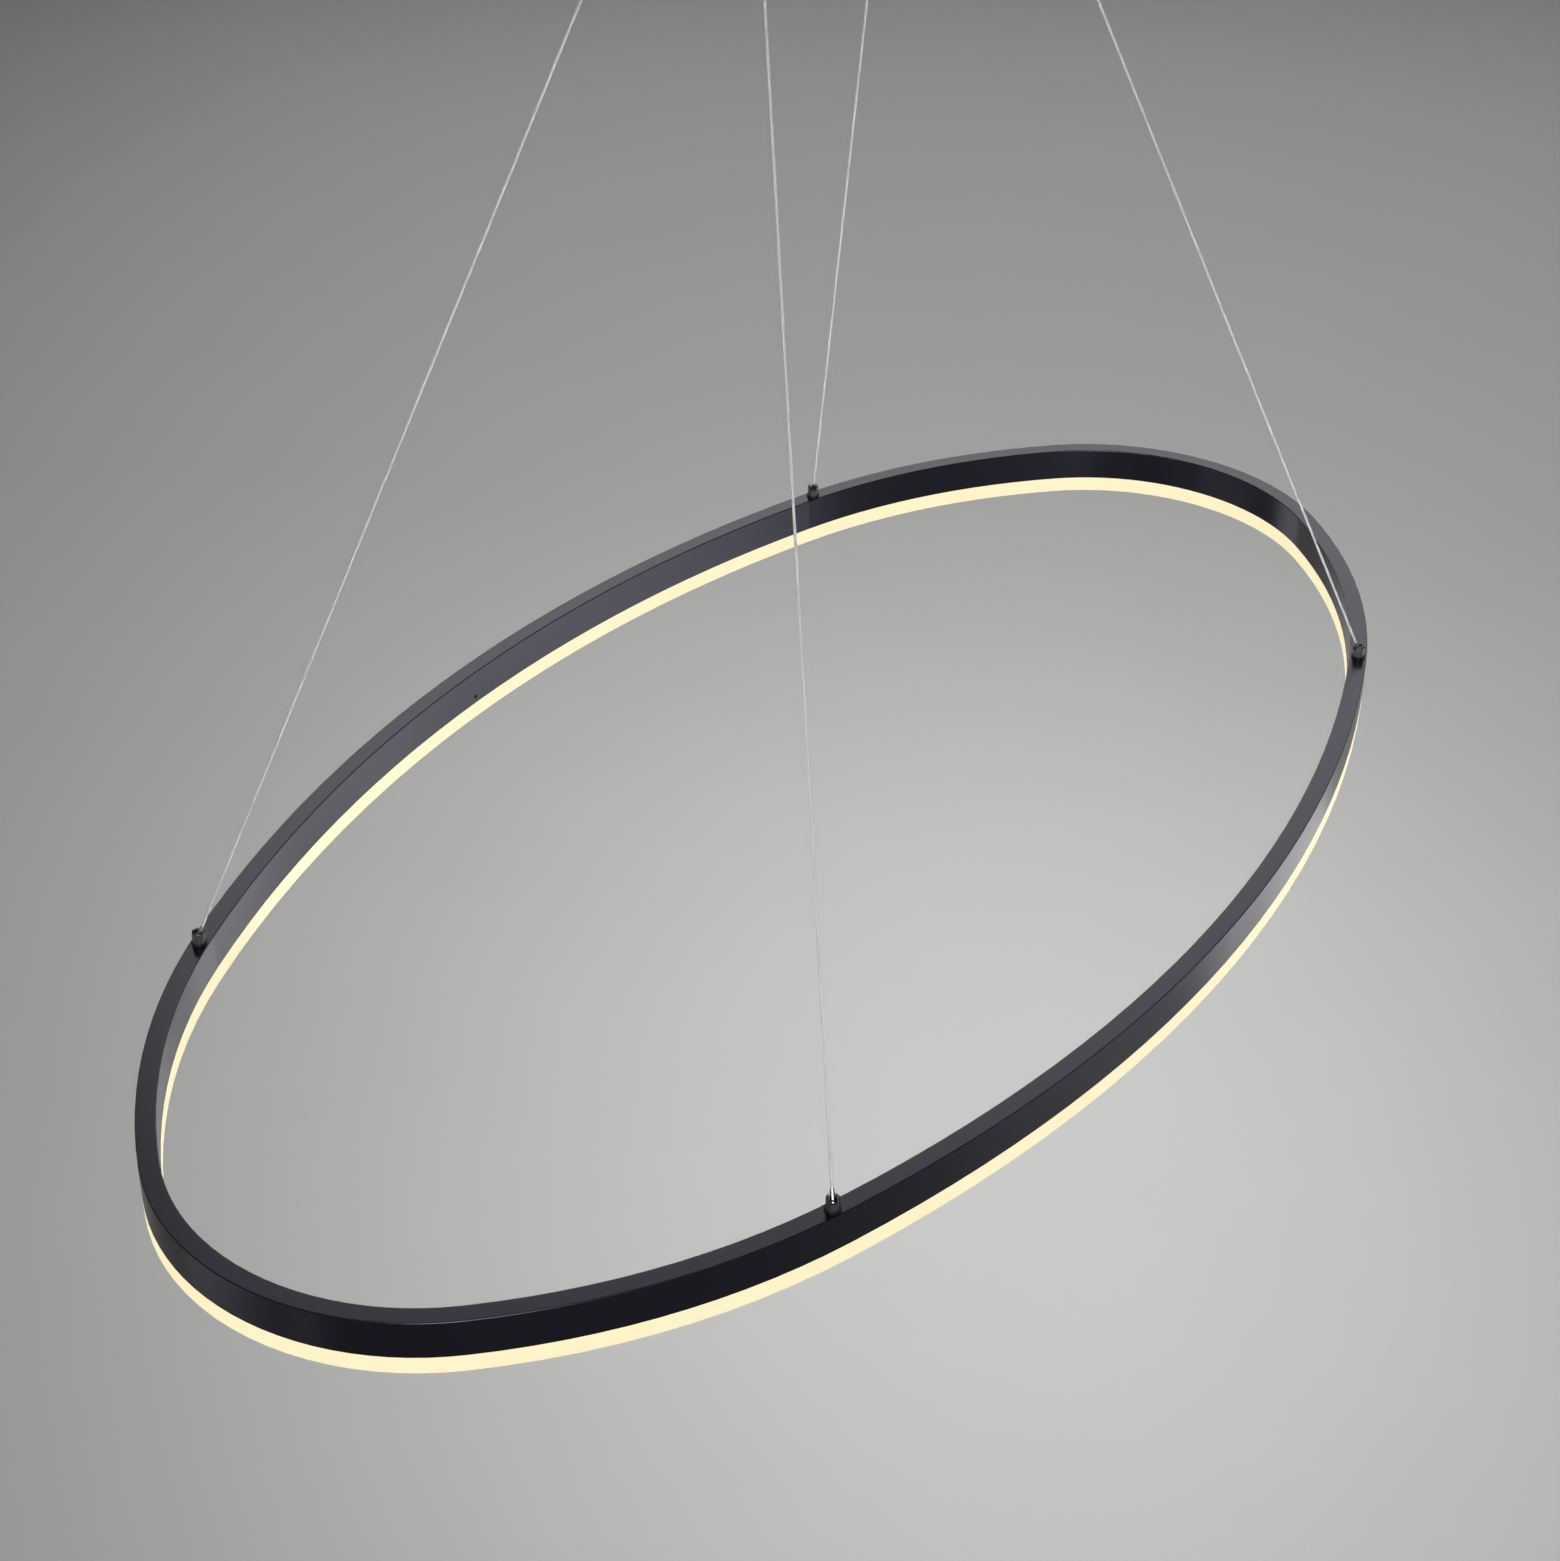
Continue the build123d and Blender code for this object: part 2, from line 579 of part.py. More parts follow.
# Wire ends: a ball that swivels in the barrel, with a tapered neck
for name, foot, pivot, along, lean, tangent in hangers:
    with BuildPart() as ferrule:
        with Locations(Plane(origin=foot, z_dir=along)):
            Sphere(FERRULE_BALL / 2)
            neck_align = (Align.CENTER, Align.CENTER, Align.MIN)
            Cone(FERRULE_BASE / 2, FERRULE_TIP / 2, FERRULE_LENGTH, align=neck_align)
        bore_start = foot + along * (FERRULE_LENGTH - FERRULE_BORE_DEPTH)
        bore_length = FERRULE_BORE_DEPTH + CUT_PAST
        rod(bore_start, along, bore_length, WIRE_DIAMETER + HOLE_GAP, Mode.SUBTRACT)
    ferrule.part.label = f"wire_end_{name}"
    export_step(ferrule.part, f"parts/wire_end_{name}.step")

# Suspension wires, from the wire ends up to the grippers
for name, foot, pivot, along, lean, tangent in hangers:
    with BuildPart() as wire:
        start = foot + along * (FERRULE_LENGTH - FERRULE_BORE_DEPTH)
        finish = pivot - along * wire_radius
        rod(start, along, (finish - start).length, WIRE_DIAMETER)
    wire.part.label = f"wire_{name}"
    export_step(wire.part, f"parts/wire_{name}.step")

# Tails of the wires inside the grippers, rounded where the wire bends
with BuildPart() as wire_tails:
    for name, foot, pivot, along, lean, tangent in hangers:
        disc(pivot.X, pivot.Y, wire_pivot, -TAIL_BELOW_CEILING, WIRE_DIAMETER)
        with Locations(pivot):
            Sphere(wire_radius)
wire_tails.part.label = "wire_tails"
export_step(wire_tails.part, "parts/wire_tails.step")

# Ceiling plate
plate_length = CANOPY_LENGTH - 2 * CANOPY_WALL - 2 * PLATE_GAP
plate_width = CANOPY_WIDTH - 2 * CANOPY_WALL - 2 * PLATE_GAP
ceiling_hole_x = CEILING_HOLE_SPACING / 2
cable_x = -plate_length / 2 + CABLE_HOLE_FROM_END
block_x = cable_x + GROMMET_FLANGE / 2 + BLOCK_FROM_GROMMET + BLOCK_LENGTH / 2
block_end = block_x + BLOCK_LENGTH / 2
earth_x = block_end + EARTH_FROM_BLOCK
ear_x = DRIVER_LENGTH / 2 + EAR_LENGTH / 2
tab_y = plate_width / 2 - PLATE_THICKNESS / 2
screw_hole = SCREW_DIAMETER + 2 * HOLE_GAP
with BuildPart() as ceiling_plate:
    with BuildSketch(Plane.XY.offset(plate_bottom)):
        SlotOverall(plate_length, plate_width)
        with Locations((-ceiling_hole_x, 0), (ceiling_hole_x, 0)):
            Circle(CEILING_HOLE / 2, mode=Mode.SUBTRACT)
        with Locations((cable_x, 0)):
            Circle(CABLE_HOLE / 2, mode=Mode.SUBTRACT)
        with Locations((-ear_x, 0), (ear_x, 0), (earth_x, EARTH_Y)):
            Circle(screw_hole / 2, mode=Mode.SUBTRACT)
    extrude(amount=PLATE_THICKNESS)
    for flip_x in (-1, 1):
        for flip_y in (-1, 1):
            tab_low = plate_bottom - TAB_HEIGHT
            block(flip_x * TAB_X, flip_y * tab_y, TAB_WIDTH, PLATE_THICKNESS, tab_low, plate_bottom)
            start = (flip_x * TAB_X, flip_y * (tab_y - PLATE_THICKNESS), -SIDE_SCREW_DROP)
            rod(start, (0, flip_y, 0), 2 * PLATE_THICKNESS, screw_hole, Mode.SUBTRACT)
ceiling_plate.part.label = "ceiling_plate"
export_step(ceiling_plate.part, "parts/ceiling_plate.step")

with BuildPart() as cable_grommet:
    disc(cable_x, 0, plate_bottom, 0, CABLE_HOLE - HOLE_GAP)
    disc(cable_x, 0, plate_bottom - GROMMET_LIP, plate_bottom, GROMMET_FLANGE)
    fillet(cable_grommet.faces().sort_by(Axis.Z)[0].edges(), GROMMET_LIP / 2)
    disc(cable_x, 0, plate_bottom - GROMMET_LIP, 0, CABLE_BORE, Mode.SUBTRACT)
cable_grommet.part.label = "cable_grommet"
export_step(cable_grommet.part, "parts/cable_grommet.step")

# Canopy cover
with BuildPart() as canopy_cover:
    with BuildSketch(Plane.XY.offset(canopy_bottom)):
        SlotOverall(CANOPY_LENGTH, CANOPY_WIDTH)
    extrude(amount=CANOPY_HEIGHT)
    fillet(canopy_cover.faces().sort_by(Axis.Z)[0].edges(), CANOPY_ROUND)
    with BuildSketch(Plane.XY.offset(canopy_floor)) as hollow:
        SlotOverall(CANOPY_LENGTH - 2 * CANOPY_WALL, CANOPY_WIDTH - 2 * CANOPY_WALL)
    extrude(hollow.sketch, amount=CANOPY_HEIGHT, mode=Mode.SUBTRACT)
    for side, flip_x in ENDS:
        sleeve_hole = BUSH_SLEEVE + 2 * HOLE_GAP
        disc(flip_x * gripper_x, 0, canopy_bottom, canopy_floor, sleeve_hole, Mode.SUBTRACT)
        for flip_y in (-1, 1):
            start = (flip_x * TAB_X, flip_y * (CANOPY_WIDTH / 2 - 2 * CANOPY_WALL), -SIDE_SCREW_DROP)
            rod(start, (0, flip_y, 0), 3 * CANOPY_WALL, screw_hole, Mode.SUBTRACT)
canopy_cover.part.label = "canopy_cover"
export_step(canopy_cover.part, "parts/canopy_cover.step")

with BuildPart() as cover_screws:
    for flip_x in (-1, 1):
        for flip_y in (-1, 1):
            seat = (flip_x * TAB_X, flip_y * CANOPY_WIDTH / 2, -SIDE_SCREW_DROP)
            pan_screw(Plane(origin=seat, x_dir=(1, 0, 0), z_dir=(0, -flip_y, 0)), SCREW_LENGTH)
cover_screws.part.label = "cover_screws"
export_step(cover_screws.part, "parts/cover_screws.step")

# LED driver under the ceiling plate
driver_bottom = plate_bottom - DRIVER_DEPTH
driver_ceiling = plate_bottom - DRIVER_WALL
input_y = DRIVER_WIDTH / 4
output_y = DRIVER_WIDTH / 3
lead_height = (plate_bottom + driver_bottom) / 2
lead_hole = LEAD_DIAMETER + 2 * HOLE_GAP
board_length = DRIVER_LENGTH - 2 * DRIVER_WALL - 2 * BOARD_MARGIN
board_width = DRIVER_WIDTH - 2 * DRIVER_WALL - 2 * BOARD_MARGIN
board_top = driver_ceiling - POST_HEIGHT
board_bottom = board_top - BOARD_THICKNESS
with BuildPart() as driver_base:
    block(0, 0, DRIVER_LENGTH, DRIVER_WIDTH, driver_bottom, plate_bottom)
    vertical = driver_base.edges().filter_by(Axis.Z)
    fillet(vertical, DRIVER_WALL)
    inside_length = DRIVER_LENGTH - 2 * DRIVER_WALL
    inside_width = DRIVER_WIDTH - 2 * DRIVER_WALL
    block(0, 0, inside_length, inside_width, driver_bottom, driver_ceiling, Mode.SUBTRACT)
    for flip_x in (-1, 1):
        block(flip_x * ear_x, 0, EAR_LENGTH, EAR_WIDTH, plate_bottom - EAR_THICKNESS, plate_bottom)
        disc(flip_x * ear_x, 0, plate_bottom - EAR_THICKNESS, plate_bottom, screw_hole, Mode.SUBTRACT)
        for flip_y in (-1, 1):
            post_x = flip_x * board_length / 3
            disc(post_x, flip_y * board_width / 3, board_top, driver_ceiling, POST_DIAMETER)
            hole_y = flip_y * (output_y if flip_x > 0 else input_y)
            start = (flip_x * (DRIVER_LENGTH / 2 - 2 * DRIVER_WALL), hole_y, lead_height)
            rod(start, (flip_x, 0, 0), 3 * DRIVER_WALL, lead_hole, Mode.SUBTRACT)
driver_base.part.label = "driver_base"
export_step(driver_base.part, "parts/driver_base.step")

with BuildPart() as driver_lid:
    block(0, 0, DRIVER_LENGTH, DRIVER_WIDTH, driver_bottom - DRIVER_LID, driver_bottom)
    vertical = driver_lid.edges().filter_by(Axis.Z)
    fillet(vertical, DRIVER_WALL)
    lip_length = DRIVER_LENGTH - 2 * DRIVER_WALL - 2 * HOLE_GAP
    lip_width = DRIVER_WIDTH - 2 * DRIVER_WALL - 2 * HOLE_GAP
    lip_top = driver_bottom + LID_LIP
    block(0, 0, lip_length, lip_width, driver_bottom, lip_top)
    frame_length = lip_length - 2 * DRIVER_WALL
    frame_width = lip_width - 2 * DRIVER_WALL
    block(0, 0, frame_length, frame_width, driver_bottom, lip_top, Mode.SUBTRACT)
driver_lid.part.label = "driver_lid"
export_step(driver_lid.part, "parts/driver_lid.step")

# Populated board: transformer, choke, capacitors and a switching transistor
part_top = board_bottom - SOLDER_GAP
part_low = lip_top + SOLDER_GAP
with BuildPart() as driver_board:
    block(0, 0, board_length, board_width, board_bottom, board_top)
    block(TRANSFORMER_X, 0, TRANSFORMER_LENGTH, TRANSFORMER_WIDTH, part_low, part_top)
    block(CHOKE_X, CHOKE_Y, CHOKE_SIZE, CHOKE_SIZE, part_low + SHORT_PART, part_top)
    block(TRANSISTOR_X, 0, TRANSISTOR_DEPTH, TRANSISTOR_WIDTH, part_low + SHORT_PART, part_top)
    for cap_x, cap_y, cap_size in CAPACITORS:
        disc(cap_x, cap_y, part_low, part_top, cap_size)
driver_board.part.label = "driver_board"
export_step(driver_board.part, "parts/driver_board.step")

with BuildPart() as driver_screws:
    for flip_x in (-1, 1):
        seat = (flip_x * ear_x, 0, plate_bottom - EAR_THICKNESS)
        pan_screw(Plane(origin=seat, z_dir=(0, 0, 1)), EAR_THICKNESS + PLATE_THICKNESS - HOLE_GAP)
driver_screws.part.label = "driver_screws"
export_step(driver_screws.part, "parts/driver_screws.step")

# Terminal block for the mains, and the earth screw
pole_height = plate_bottom - POLE_DROP
block_bottom = plate_bottom - BLOCK_HEIGHT
screw_x = BLOCK_LENGTH / 4
with BuildPart() as terminal_block:
    block(block_x, 0, BLOCK_LENGTH, BLOCK_WIDTH, block_bottom, plate_bottom)
    chamfer(terminal_block.faces().sort_by(Axis.Z)[0].edges(), BLOCK_CHAMFER)
    for pole in (-1, 0, 1):
        start = (block_x - BLOCK_LENGTH / 2, pole * POLE_PITCH, pole_height)
        rod(start, (1, 0, 0), BLOCK_LENGTH, POLE_BORE, Mode.SUBTRACT)
        for flip_x in (-1, 1):
            well = TERMINAL_SCREW + 2 * HOLE_GAP
            well_x = block_x + flip_x * screw_x
            disc(well_x, pole * POLE_PITCH, block_bottom, pole_height, well, Mode.SUBTRACT)
terminal_block.part.label = "terminal_block"
export_step(terminal_block.part, "parts/terminal_block.step")

with BuildPart() as terminal_screws:
    for pole in (-1, 0, 1):
        for flip_x in (-1, 1):
            well_x = block_x + flip_x * screw_x
            pole_y = pole * POLE_PITCH
            tip = pole_height - lead_radius
            disc(well_x, pole_y, block_bottom + HOLE_GAP, tip, TERMINAL_SCREW)
            slot_top = block_bottom + DRIVE_SLOT_DEPTH
            block(well_x, pole_y, TERMINAL_SCREW, DRIVE_SLOT, block_bottom, slot_top, Mode.SUBTRACT)
terminal_screws.part.label = "terminal_screws"
export_step(terminal_screws.part, "parts/terminal_screws.step")

with BuildPart() as earth_screw:
    seat = (earth_x, EARTH_Y, plate_bottom)
    pan_screw(Plane(origin=seat, z_dir=(0, 0, 1)), PLATE_THICKNESS - HOLE_GAP)
earth_screw.part.label = "earth_screw"
export_step(earth_screw.part, "parts/earth_screw.step")

# Mains leads from the terminal block
tucked = block_end - screw_x
lane_y = NECK_DIAMETER / 2 + LEAD_LANE
driver_end = DRIVER_LENGTH / 2 - DRIVER_WALL
for name, pole, flip_y in (("live", -1, -1), ("neutral", 0, 1)):
    with BuildPart() as mains_lead:
        points = (
            Vector(tucked, pole * POLE_PITCH, pole_height),
            Vector(block_end + MAINS_OUT, pole * POLE_PITCH, pole_height),
            Vector(block_end + MAINS_OUT + MAINS_SPREAD, flip_y * lane_y, lead_height),
            Vector(-DRIVER_LENGTH / 2 - 2 * LEAD_LANE, flip_y * lane_y, lead_height),
            Vector(-DRIVER_LENGTH / 2 - LEAD_LANE, flip_y * input_y, lead_height),
            Vector(-driver_end, flip_y * input_y, lead_height),
        )
        lead(points, LEAD_DIAMETER, LEAD_BEND)
    mains_lead.part.label = f"{name}_lead"
    export_step(mains_lead.part, f"parts/{name}_lead.step")

earth_height = plate_bottom - SCREW_HEAD_HEIGHT / 2
with BuildPart() as earth_lead:
    points = (
        Vector(tucked, POLE_PITCH, pole_height),
        Vector(earth_x, POLE_PITCH, pole_height),
        Vector(earth_x, POLE_PITCH + EARTH_RISE, earth_height),
        Vector(earth_x, EARTH_Y - SCREW_HEAD / 2, earth_height),
    )
    lead(points, LEAD_DIAMETER, EARTH_BEND)
earth_lead.part.label = "earth_lead"
export_step(earth_lead.part, "parts/earth_lead.step")

# Grippers: bodies through the canopy, with a cone that the balls wedge in
washer_top = canopy_floor + BUSH_FLANGE
gripper_lug_top = washer_top + LUG_THICKNESS
gripper_nut_top = gripper_lug_top + GRIPPER_NUT_HEIGHT
throat = CAGE_DIAMETER / 2 + RUN_GAP
cone_top = throat + CONE_RISE * (cage_top - pocket_top)
neck_bore = NECK_DIAMETER + 2 * HOLE_GAP
for side, flip_x in ENDS:
    with BuildPart() as gripper_body:
        with BuildSketch(Plane.XZ) as half_section:
            with BuildLine() as edge:
                Polyline(
                    (NOSE_DIAMETER / 2 + RUN_GAP, flange_bottom),
                    (FLANGE_DIAMETER / 2 - FLANGE_CHAMFER, flange_bottom),
                    (FLANGE_DIAMETER / 2, flange_bottom + FLANGE_CHAMFER),
                    (FLANGE_DIAMETER / 2, flange_top),
                    (NECK_DIAMETER / 2, flange_top),
                    (NECK_DIAMETER / 2, neck_top),
                    (CAP_BORE / 2, neck_top),
                    (CAP_BORE / 2, cap_bottom),
                    (cone_top, cap_bottom),
                    (cone_top, cage_top),
                    (throat, pocket_top),
                    (NOSE_DIAMETER / 2 + RUN_GAP, pocket_top),
                    close=True,
                )
            make_face()
        revolve(axis=Axis.Z)
    gripper_body.part.label = f"gripper_body_{side}"
    gripper_body.part.position = (flip_x * gripper_x, 0, 0)
    export_step(gripper_body.part, f"parts/gripper_body_{side}.step")

# Release plungers: a flared nose for two wires and a cage for the balls
ball_z = cage_top - BALL_BELOW_CAGE_TOP
ball_x = wire_radius + BALL_DIAMETER / 2 + BALL_GAP
for side, flip_x in ENDS:
    with BuildPart() as plunger:
        disc(flip_x * gripper_x, 0, nose_bottom, nose_top, NOSE_DIAMETER)
        fillet(plunger.faces().sort_by(Axis.Z)[0].edges(), NOSE_ROUND)
        disc(flip_x * gripper_x, 0, nose_top, cage_top, CAGE_DIAMETER)
        for flip_y in (-1, 1):
            bore_y = flip_y * WIRE_GAP / 2
            disc(flip_x * gripper_x, bore_y, nose_bottom, cage_top, WIRE_BORE, Mode.SUBTRACT)
            with Locations((flip_x * gripper_x, bore_y, nose_bottom)):
                flare_align = (Align.CENTER, Align.CENTER, Align.MIN)
                Cone(FLARE_MOUTH / 2, WIRE_BORE / 2, FLARE_DEPTH, align=flare_align, mode=Mode.SUBTRACT)
            start = (flip_x * gripper_x - CAGE_DIAMETER, bore_y, ball_z)
            rod(start, (1, 0, 0), 2 * CAGE_DIAMETER, BALL_DIAMETER + RUN_GAP, Mode.SUBTRACT)
    plunger.part.label = f"plunger_{side}"
    export_step(plunger.part, f"parts/plunger_{side}.step")

    with BuildPart() as balls:
        for flip_y in (-1, 1):
            for shift in (-ball_x, ball_x):
                with Locations((flip_x * gripper_x + shift, flip_y * WIRE_GAP / 2, ball_z)):
                    Sphere(BALL_DIAMETER / 2)
    balls.part.label = f"clamp_balls_{side}"
    export_step(balls.part, f"parts/clamp_balls_{side}.step")

# Springs that push the plungers down
spring_low = cage_top + SPRING_WIRE / 2
spring_height = cap_bottom - cage_top - SPRING_WIRE
for side, flip_x in ENDS:
    with BuildPart() as spring:
        with BuildLine() as coil:
            Helix(SPRING_PITCH, spring_height, SPRING_COIL / 2, center=(flip_x * gripper_x, 0, spring_low))
        with BuildSketch(Plane(origin=coil.line @ 0, z_dir=coil.line % 0)):
            Circle(SPRING_WIRE / 2)
        sweep(path=coil.line, is_frenet=True)
    spring.part.label = f"gripper_spring_{side}"
    export_step(spring.part, f"parts/gripper_spring_{side}.step")

# Insulation, lugs and nuts of the grippers
with BuildPart() as gripper_bushes:
    for side, flip_x in ENDS:
        disc(flip_x * gripper_x, 0, flange_top, canopy_bottom, FLANGE_DIAMETER)
        disc(flip_x * gripper_x, 0, canopy_bottom, canopy_floor, BUSH_SLEEVE)
        disc(flip_x * gripper_x, 0, flange_top, canopy_floor, neck_bore, Mode.SUBTRACT)
gripper_bushes.part.label = "gripper_bushes"
export_step(gripper_bushes.part, "parts/gripper_bushes.step")

with BuildPart() as gripper_washers:
    for side, flip_x in ENDS:
        disc(flip_x * gripper_x, 0, canopy_floor, washer_top, GRIPPER_WASHER)
        disc(flip_x * gripper_x, 0, canopy_floor, washer_top, neck_bore, Mode.SUBTRACT)
gripper_washers.part.label = "gripper_washers"
export_step(gripper_washers.part, "parts/gripper_washers.step")

with BuildPart() as gripper_lugs:
    for side, flip_x in ENDS:
        lug_plane = Plane(origin=(flip_x * gripper_x, 0, washer_top), x_dir=(flip_x, 0, 0), z_dir=(0, 0, 1))
        with BuildSketch(lug_plane) as lug:
            Circle(GRIPPER_WASHER / 2)
            with Locations((GRIPPER_LUG_TONGUE / 2, 0)):
                Rectangle(GRIPPER_LUG_TONGUE, GRIPPER_LUG_WIDTH)
            Circle(neck_bore / 2, mode=Mode.SUBTRACT)
        extrude(lug.sketch, amount=LUG_THICKNESS)
gripper_lugs.part.label = "gripper_lugs"
export_step(gripper_lugs.part, "parts/gripper_lugs.step")

with BuildPart() as gripper_nuts:
    for side, flip_x in ENDS:
        nut_x = flip_x * gripper_x
        hexagon(nut_x, 0, gripper_lug_top, gripper_nut_top, GRIPPER_NUT_ACROSS, neck_bore)
gripper_nuts.part.label = "gripper_nuts"
export_step(gripper_nuts.part, "parts/gripper_nuts.step")

# Output leads from the driver to the gripper lugs
output_height = gripper_lug_top + lead_radius
tongue_x = gripper_x + GRIPPER_LUG_TONGUE - TONGUE_INSET
turn_x = DRIVER_LENGTH / 2 + OUTPUT_OUT
around_y = GRIPPER_NUT_ACROSS / 2 + LEAD_LANE
with BuildPart() as positive_lead:
    points = (
        Vector(driver_end, output_y, lead_height),
        Vector(turn_x, output_y, lead_height),
        Vector(gripper_x - OUTPUT_SPREAD, around_y, output_height),
        Vector(tongue_x - OUTPUT_SPREAD, around_y, output_height),
        Vector(tongue_x, 0, output_height),
    )
    lead(points, LEAD_DIAMETER, LEAD_BEND)
positive_lead.part.label = "positive_lead"
export_step(positive_lead.part, "parts/positive_lead.step")

beside_y = -(DRIVER_WIDTH / 2 + tab_y - PLATE_THICKNESS / 2) / 2
with BuildPart() as negative_lead:
    points = (
        Vector(driver_end, -output_y, lead_height),
        Vector(turn_x, -output_y, lead_height),
        Vector(turn_x, beside_y, lead_height),
        Vector(-turn_x, beside_y, lead_height),
        Vector(-gripper_x + OUTPUT_SPREAD, -around_y, output_height),
        Vector(-tongue_x + OUTPUT_SPREAD, -around_y, output_height),
        Vector(-tongue_x, 0, output_height),
    )
    lead(points, LEAD_DIAMETER, LEAD_BEND)
negative_lead.part.label = "negative_lead"
export_step(negative_lead.part, "parts/negative_lead.step")

print("hanger", round(hanger_x, 2), round(hanger_y, 2))
print("ball", round(ball_height, 2), "pivot", round(wire_pivot, 2))
print("ring top", round(ring_top, 2), "ring bottom", round(ring_bottom, 2))
print("perimeter", round(4 * quarter_run, 1))
print("radii", round(END_RADIUS, 1), round(shoulder_radius, 1), round(side_radius, 1))
print("cap bottom", round(cap_bottom, 3), "cage top", round(cage_top, 3))
print("cable", round(cable_x, 2), "nodes", len(os.listdir("parts")))
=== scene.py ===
"""Oval LED pendant lamp: finishes, suspension wires and springs, in a plain studio."""

import math

import bpy
from mathutils import Matrix, Vector


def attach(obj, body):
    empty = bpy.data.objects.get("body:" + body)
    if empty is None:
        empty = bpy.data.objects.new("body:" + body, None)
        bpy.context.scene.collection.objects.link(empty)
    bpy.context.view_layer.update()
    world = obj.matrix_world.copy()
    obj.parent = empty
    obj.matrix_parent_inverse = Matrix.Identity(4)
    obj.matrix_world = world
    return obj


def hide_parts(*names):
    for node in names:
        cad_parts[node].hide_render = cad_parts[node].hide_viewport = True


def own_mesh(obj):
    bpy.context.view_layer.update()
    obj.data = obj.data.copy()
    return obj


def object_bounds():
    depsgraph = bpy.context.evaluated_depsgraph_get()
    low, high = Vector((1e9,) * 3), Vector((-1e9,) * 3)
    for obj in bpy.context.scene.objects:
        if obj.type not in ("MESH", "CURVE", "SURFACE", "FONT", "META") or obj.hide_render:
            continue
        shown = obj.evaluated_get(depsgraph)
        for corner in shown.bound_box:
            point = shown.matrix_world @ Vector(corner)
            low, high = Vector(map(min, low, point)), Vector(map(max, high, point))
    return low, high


bl_info = {
    "name": "Oval Pendant Lamp",
    "version": (1, 0, 0),
    "blender": (4, 5, 0),
    "location": "View3D > Sidebar > Pendant",
    "description": "Dresses the oval pendant lamp and sets it in a plain studio",
    "category": "Object",
}

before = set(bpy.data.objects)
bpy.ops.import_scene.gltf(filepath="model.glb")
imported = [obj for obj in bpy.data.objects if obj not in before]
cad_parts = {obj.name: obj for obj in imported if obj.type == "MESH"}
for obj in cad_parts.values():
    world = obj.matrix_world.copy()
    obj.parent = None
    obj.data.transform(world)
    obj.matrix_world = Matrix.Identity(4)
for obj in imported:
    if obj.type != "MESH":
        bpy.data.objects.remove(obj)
CAD_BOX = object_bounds()

CORNERS = (
    ("front_left", -1, -1),
    ("front_right", 1, -1),
    ("rear_right", 1, 1),
    ("rear_left", -1, 1),
)
ENDS = (("left", -1), ("right", 1))

# Laid wire: strands round the middle one, points round the wire, least radius in a groove
STRANDS = 6
WIRE_POINTS = 24
GROOVE_SHARE = 0.72
# Straight run at both ends of a wire, in wire diameters, and points read from its route
END_RUN = 6
ROUTE_POINTS = 1024
# Spring: points round its wire, and steps along it
COIL_POINTS = 10
COIL_STEPS = 110
# Grain of the finishes: octaves, their falloff, and where its low and high tones lie
GRAIN_DETAIL = 5.0
GRAIN_FALLOFF = 0.6
GRAIN_ENDS = (0.3, 0.7)
# From LED to LED along the tape, in millimetres
LED_PITCH = 17.0
# Points round the floor, and width of the camera's sensor in millimetres
FLOOR_POINTS = 256
SENSOR_WIDTH = 36

# Soft boxes: metres to the right of the lamp, beyond it and over it, width, depth, watts, spread, facing.
# Washes light the floor, and the panels just over it are what the channel's walls mirror.
LIGHTS = (
    ("pool_light", 0.53, 2.98, -0.58, 0.1, 3.7, 54, 180, "down"),
    ("wash_light", 0.7, 7.9, -0.43, 7.6, 6.9, 88, 180, "down"),
    ("left_wash", -9.0, 0.0, -0.5, 6.0, 14.0, 90, 180, "down"),
    ("right_wash", 8.5, 0.0, -0.5, 6.0, 14.0, 150, 180, "down"),
    ("front_wash", 0.0, -12.0, -0.5, 11.0, 6.0, 120, 180, "down"),
    ("back_light", 0.5, 4.0, 1.75, 4.3, 3.2, 46, 180, "lamp"),
    ("right_panel", 5.3, 0.9, -2.98, 1.8, 3.6, 28, 180, "up"),
    ("flank_panel", 2.75, 3.4, -2.98, 1.9, 1.0, 7, 180, "up"),
    ("bridge_panel", 4.0, 2.55, -2.98, 1.1, 1.1, 5.0, 180, "up"),
    ("left_panel", -4.4, -0.9, -2.98, 1.5, 3.2, 6.8, 180, "up"),
    ("fade_panel", -3.3, -3.0, -2.98, 1.4, 1.4, 1.5, 180, "up"),
    ("corner_panel", -4.3, 3.7, -2.98, 1.8, 1.8, 7.5, 180, "up"),
    ("front_panel", 3.2, -5.6, -2.98, 5.4, 1.6, 11, 180, "up"),
    ("key_light", 0.3, -3.4, 0.75, 2.0, 1.4, 9.5, 50, "lamp"),
    ("inner_strip", 0.0, -0.12, -0.03, 0.5, 0.03, 0.8, 180, "lamp"),
)


def linear(code):
    """Linear colour of an sRGB hex value."""
    parts = [int(code[i:i + 2], 16) / 255 for i in (1, 3, 5)]
    return [c / 12.92 if c <= 0.04045 else ((c + 0.055) / 1.055) ** 2.4 for c in parts]


def darker(tone, share):
    """Tone that keeps this share of its light."""
    return [c * share for c in tone]


def length(name, default, description):
    """Property for a length, given in millimetres."""
    return bpy.props.FloatProperty(
        name=name, description=description, default=default / 1000, unit="LENGTH", precision=5
    )


def colour(name, code, description):
    """Property for a colour, given as an sRGB hex value."""
    return bpy.props.FloatVectorProperty(
        name=name, description=description, default=linear(code), subtype="COLOR", min=0, max=1
    )


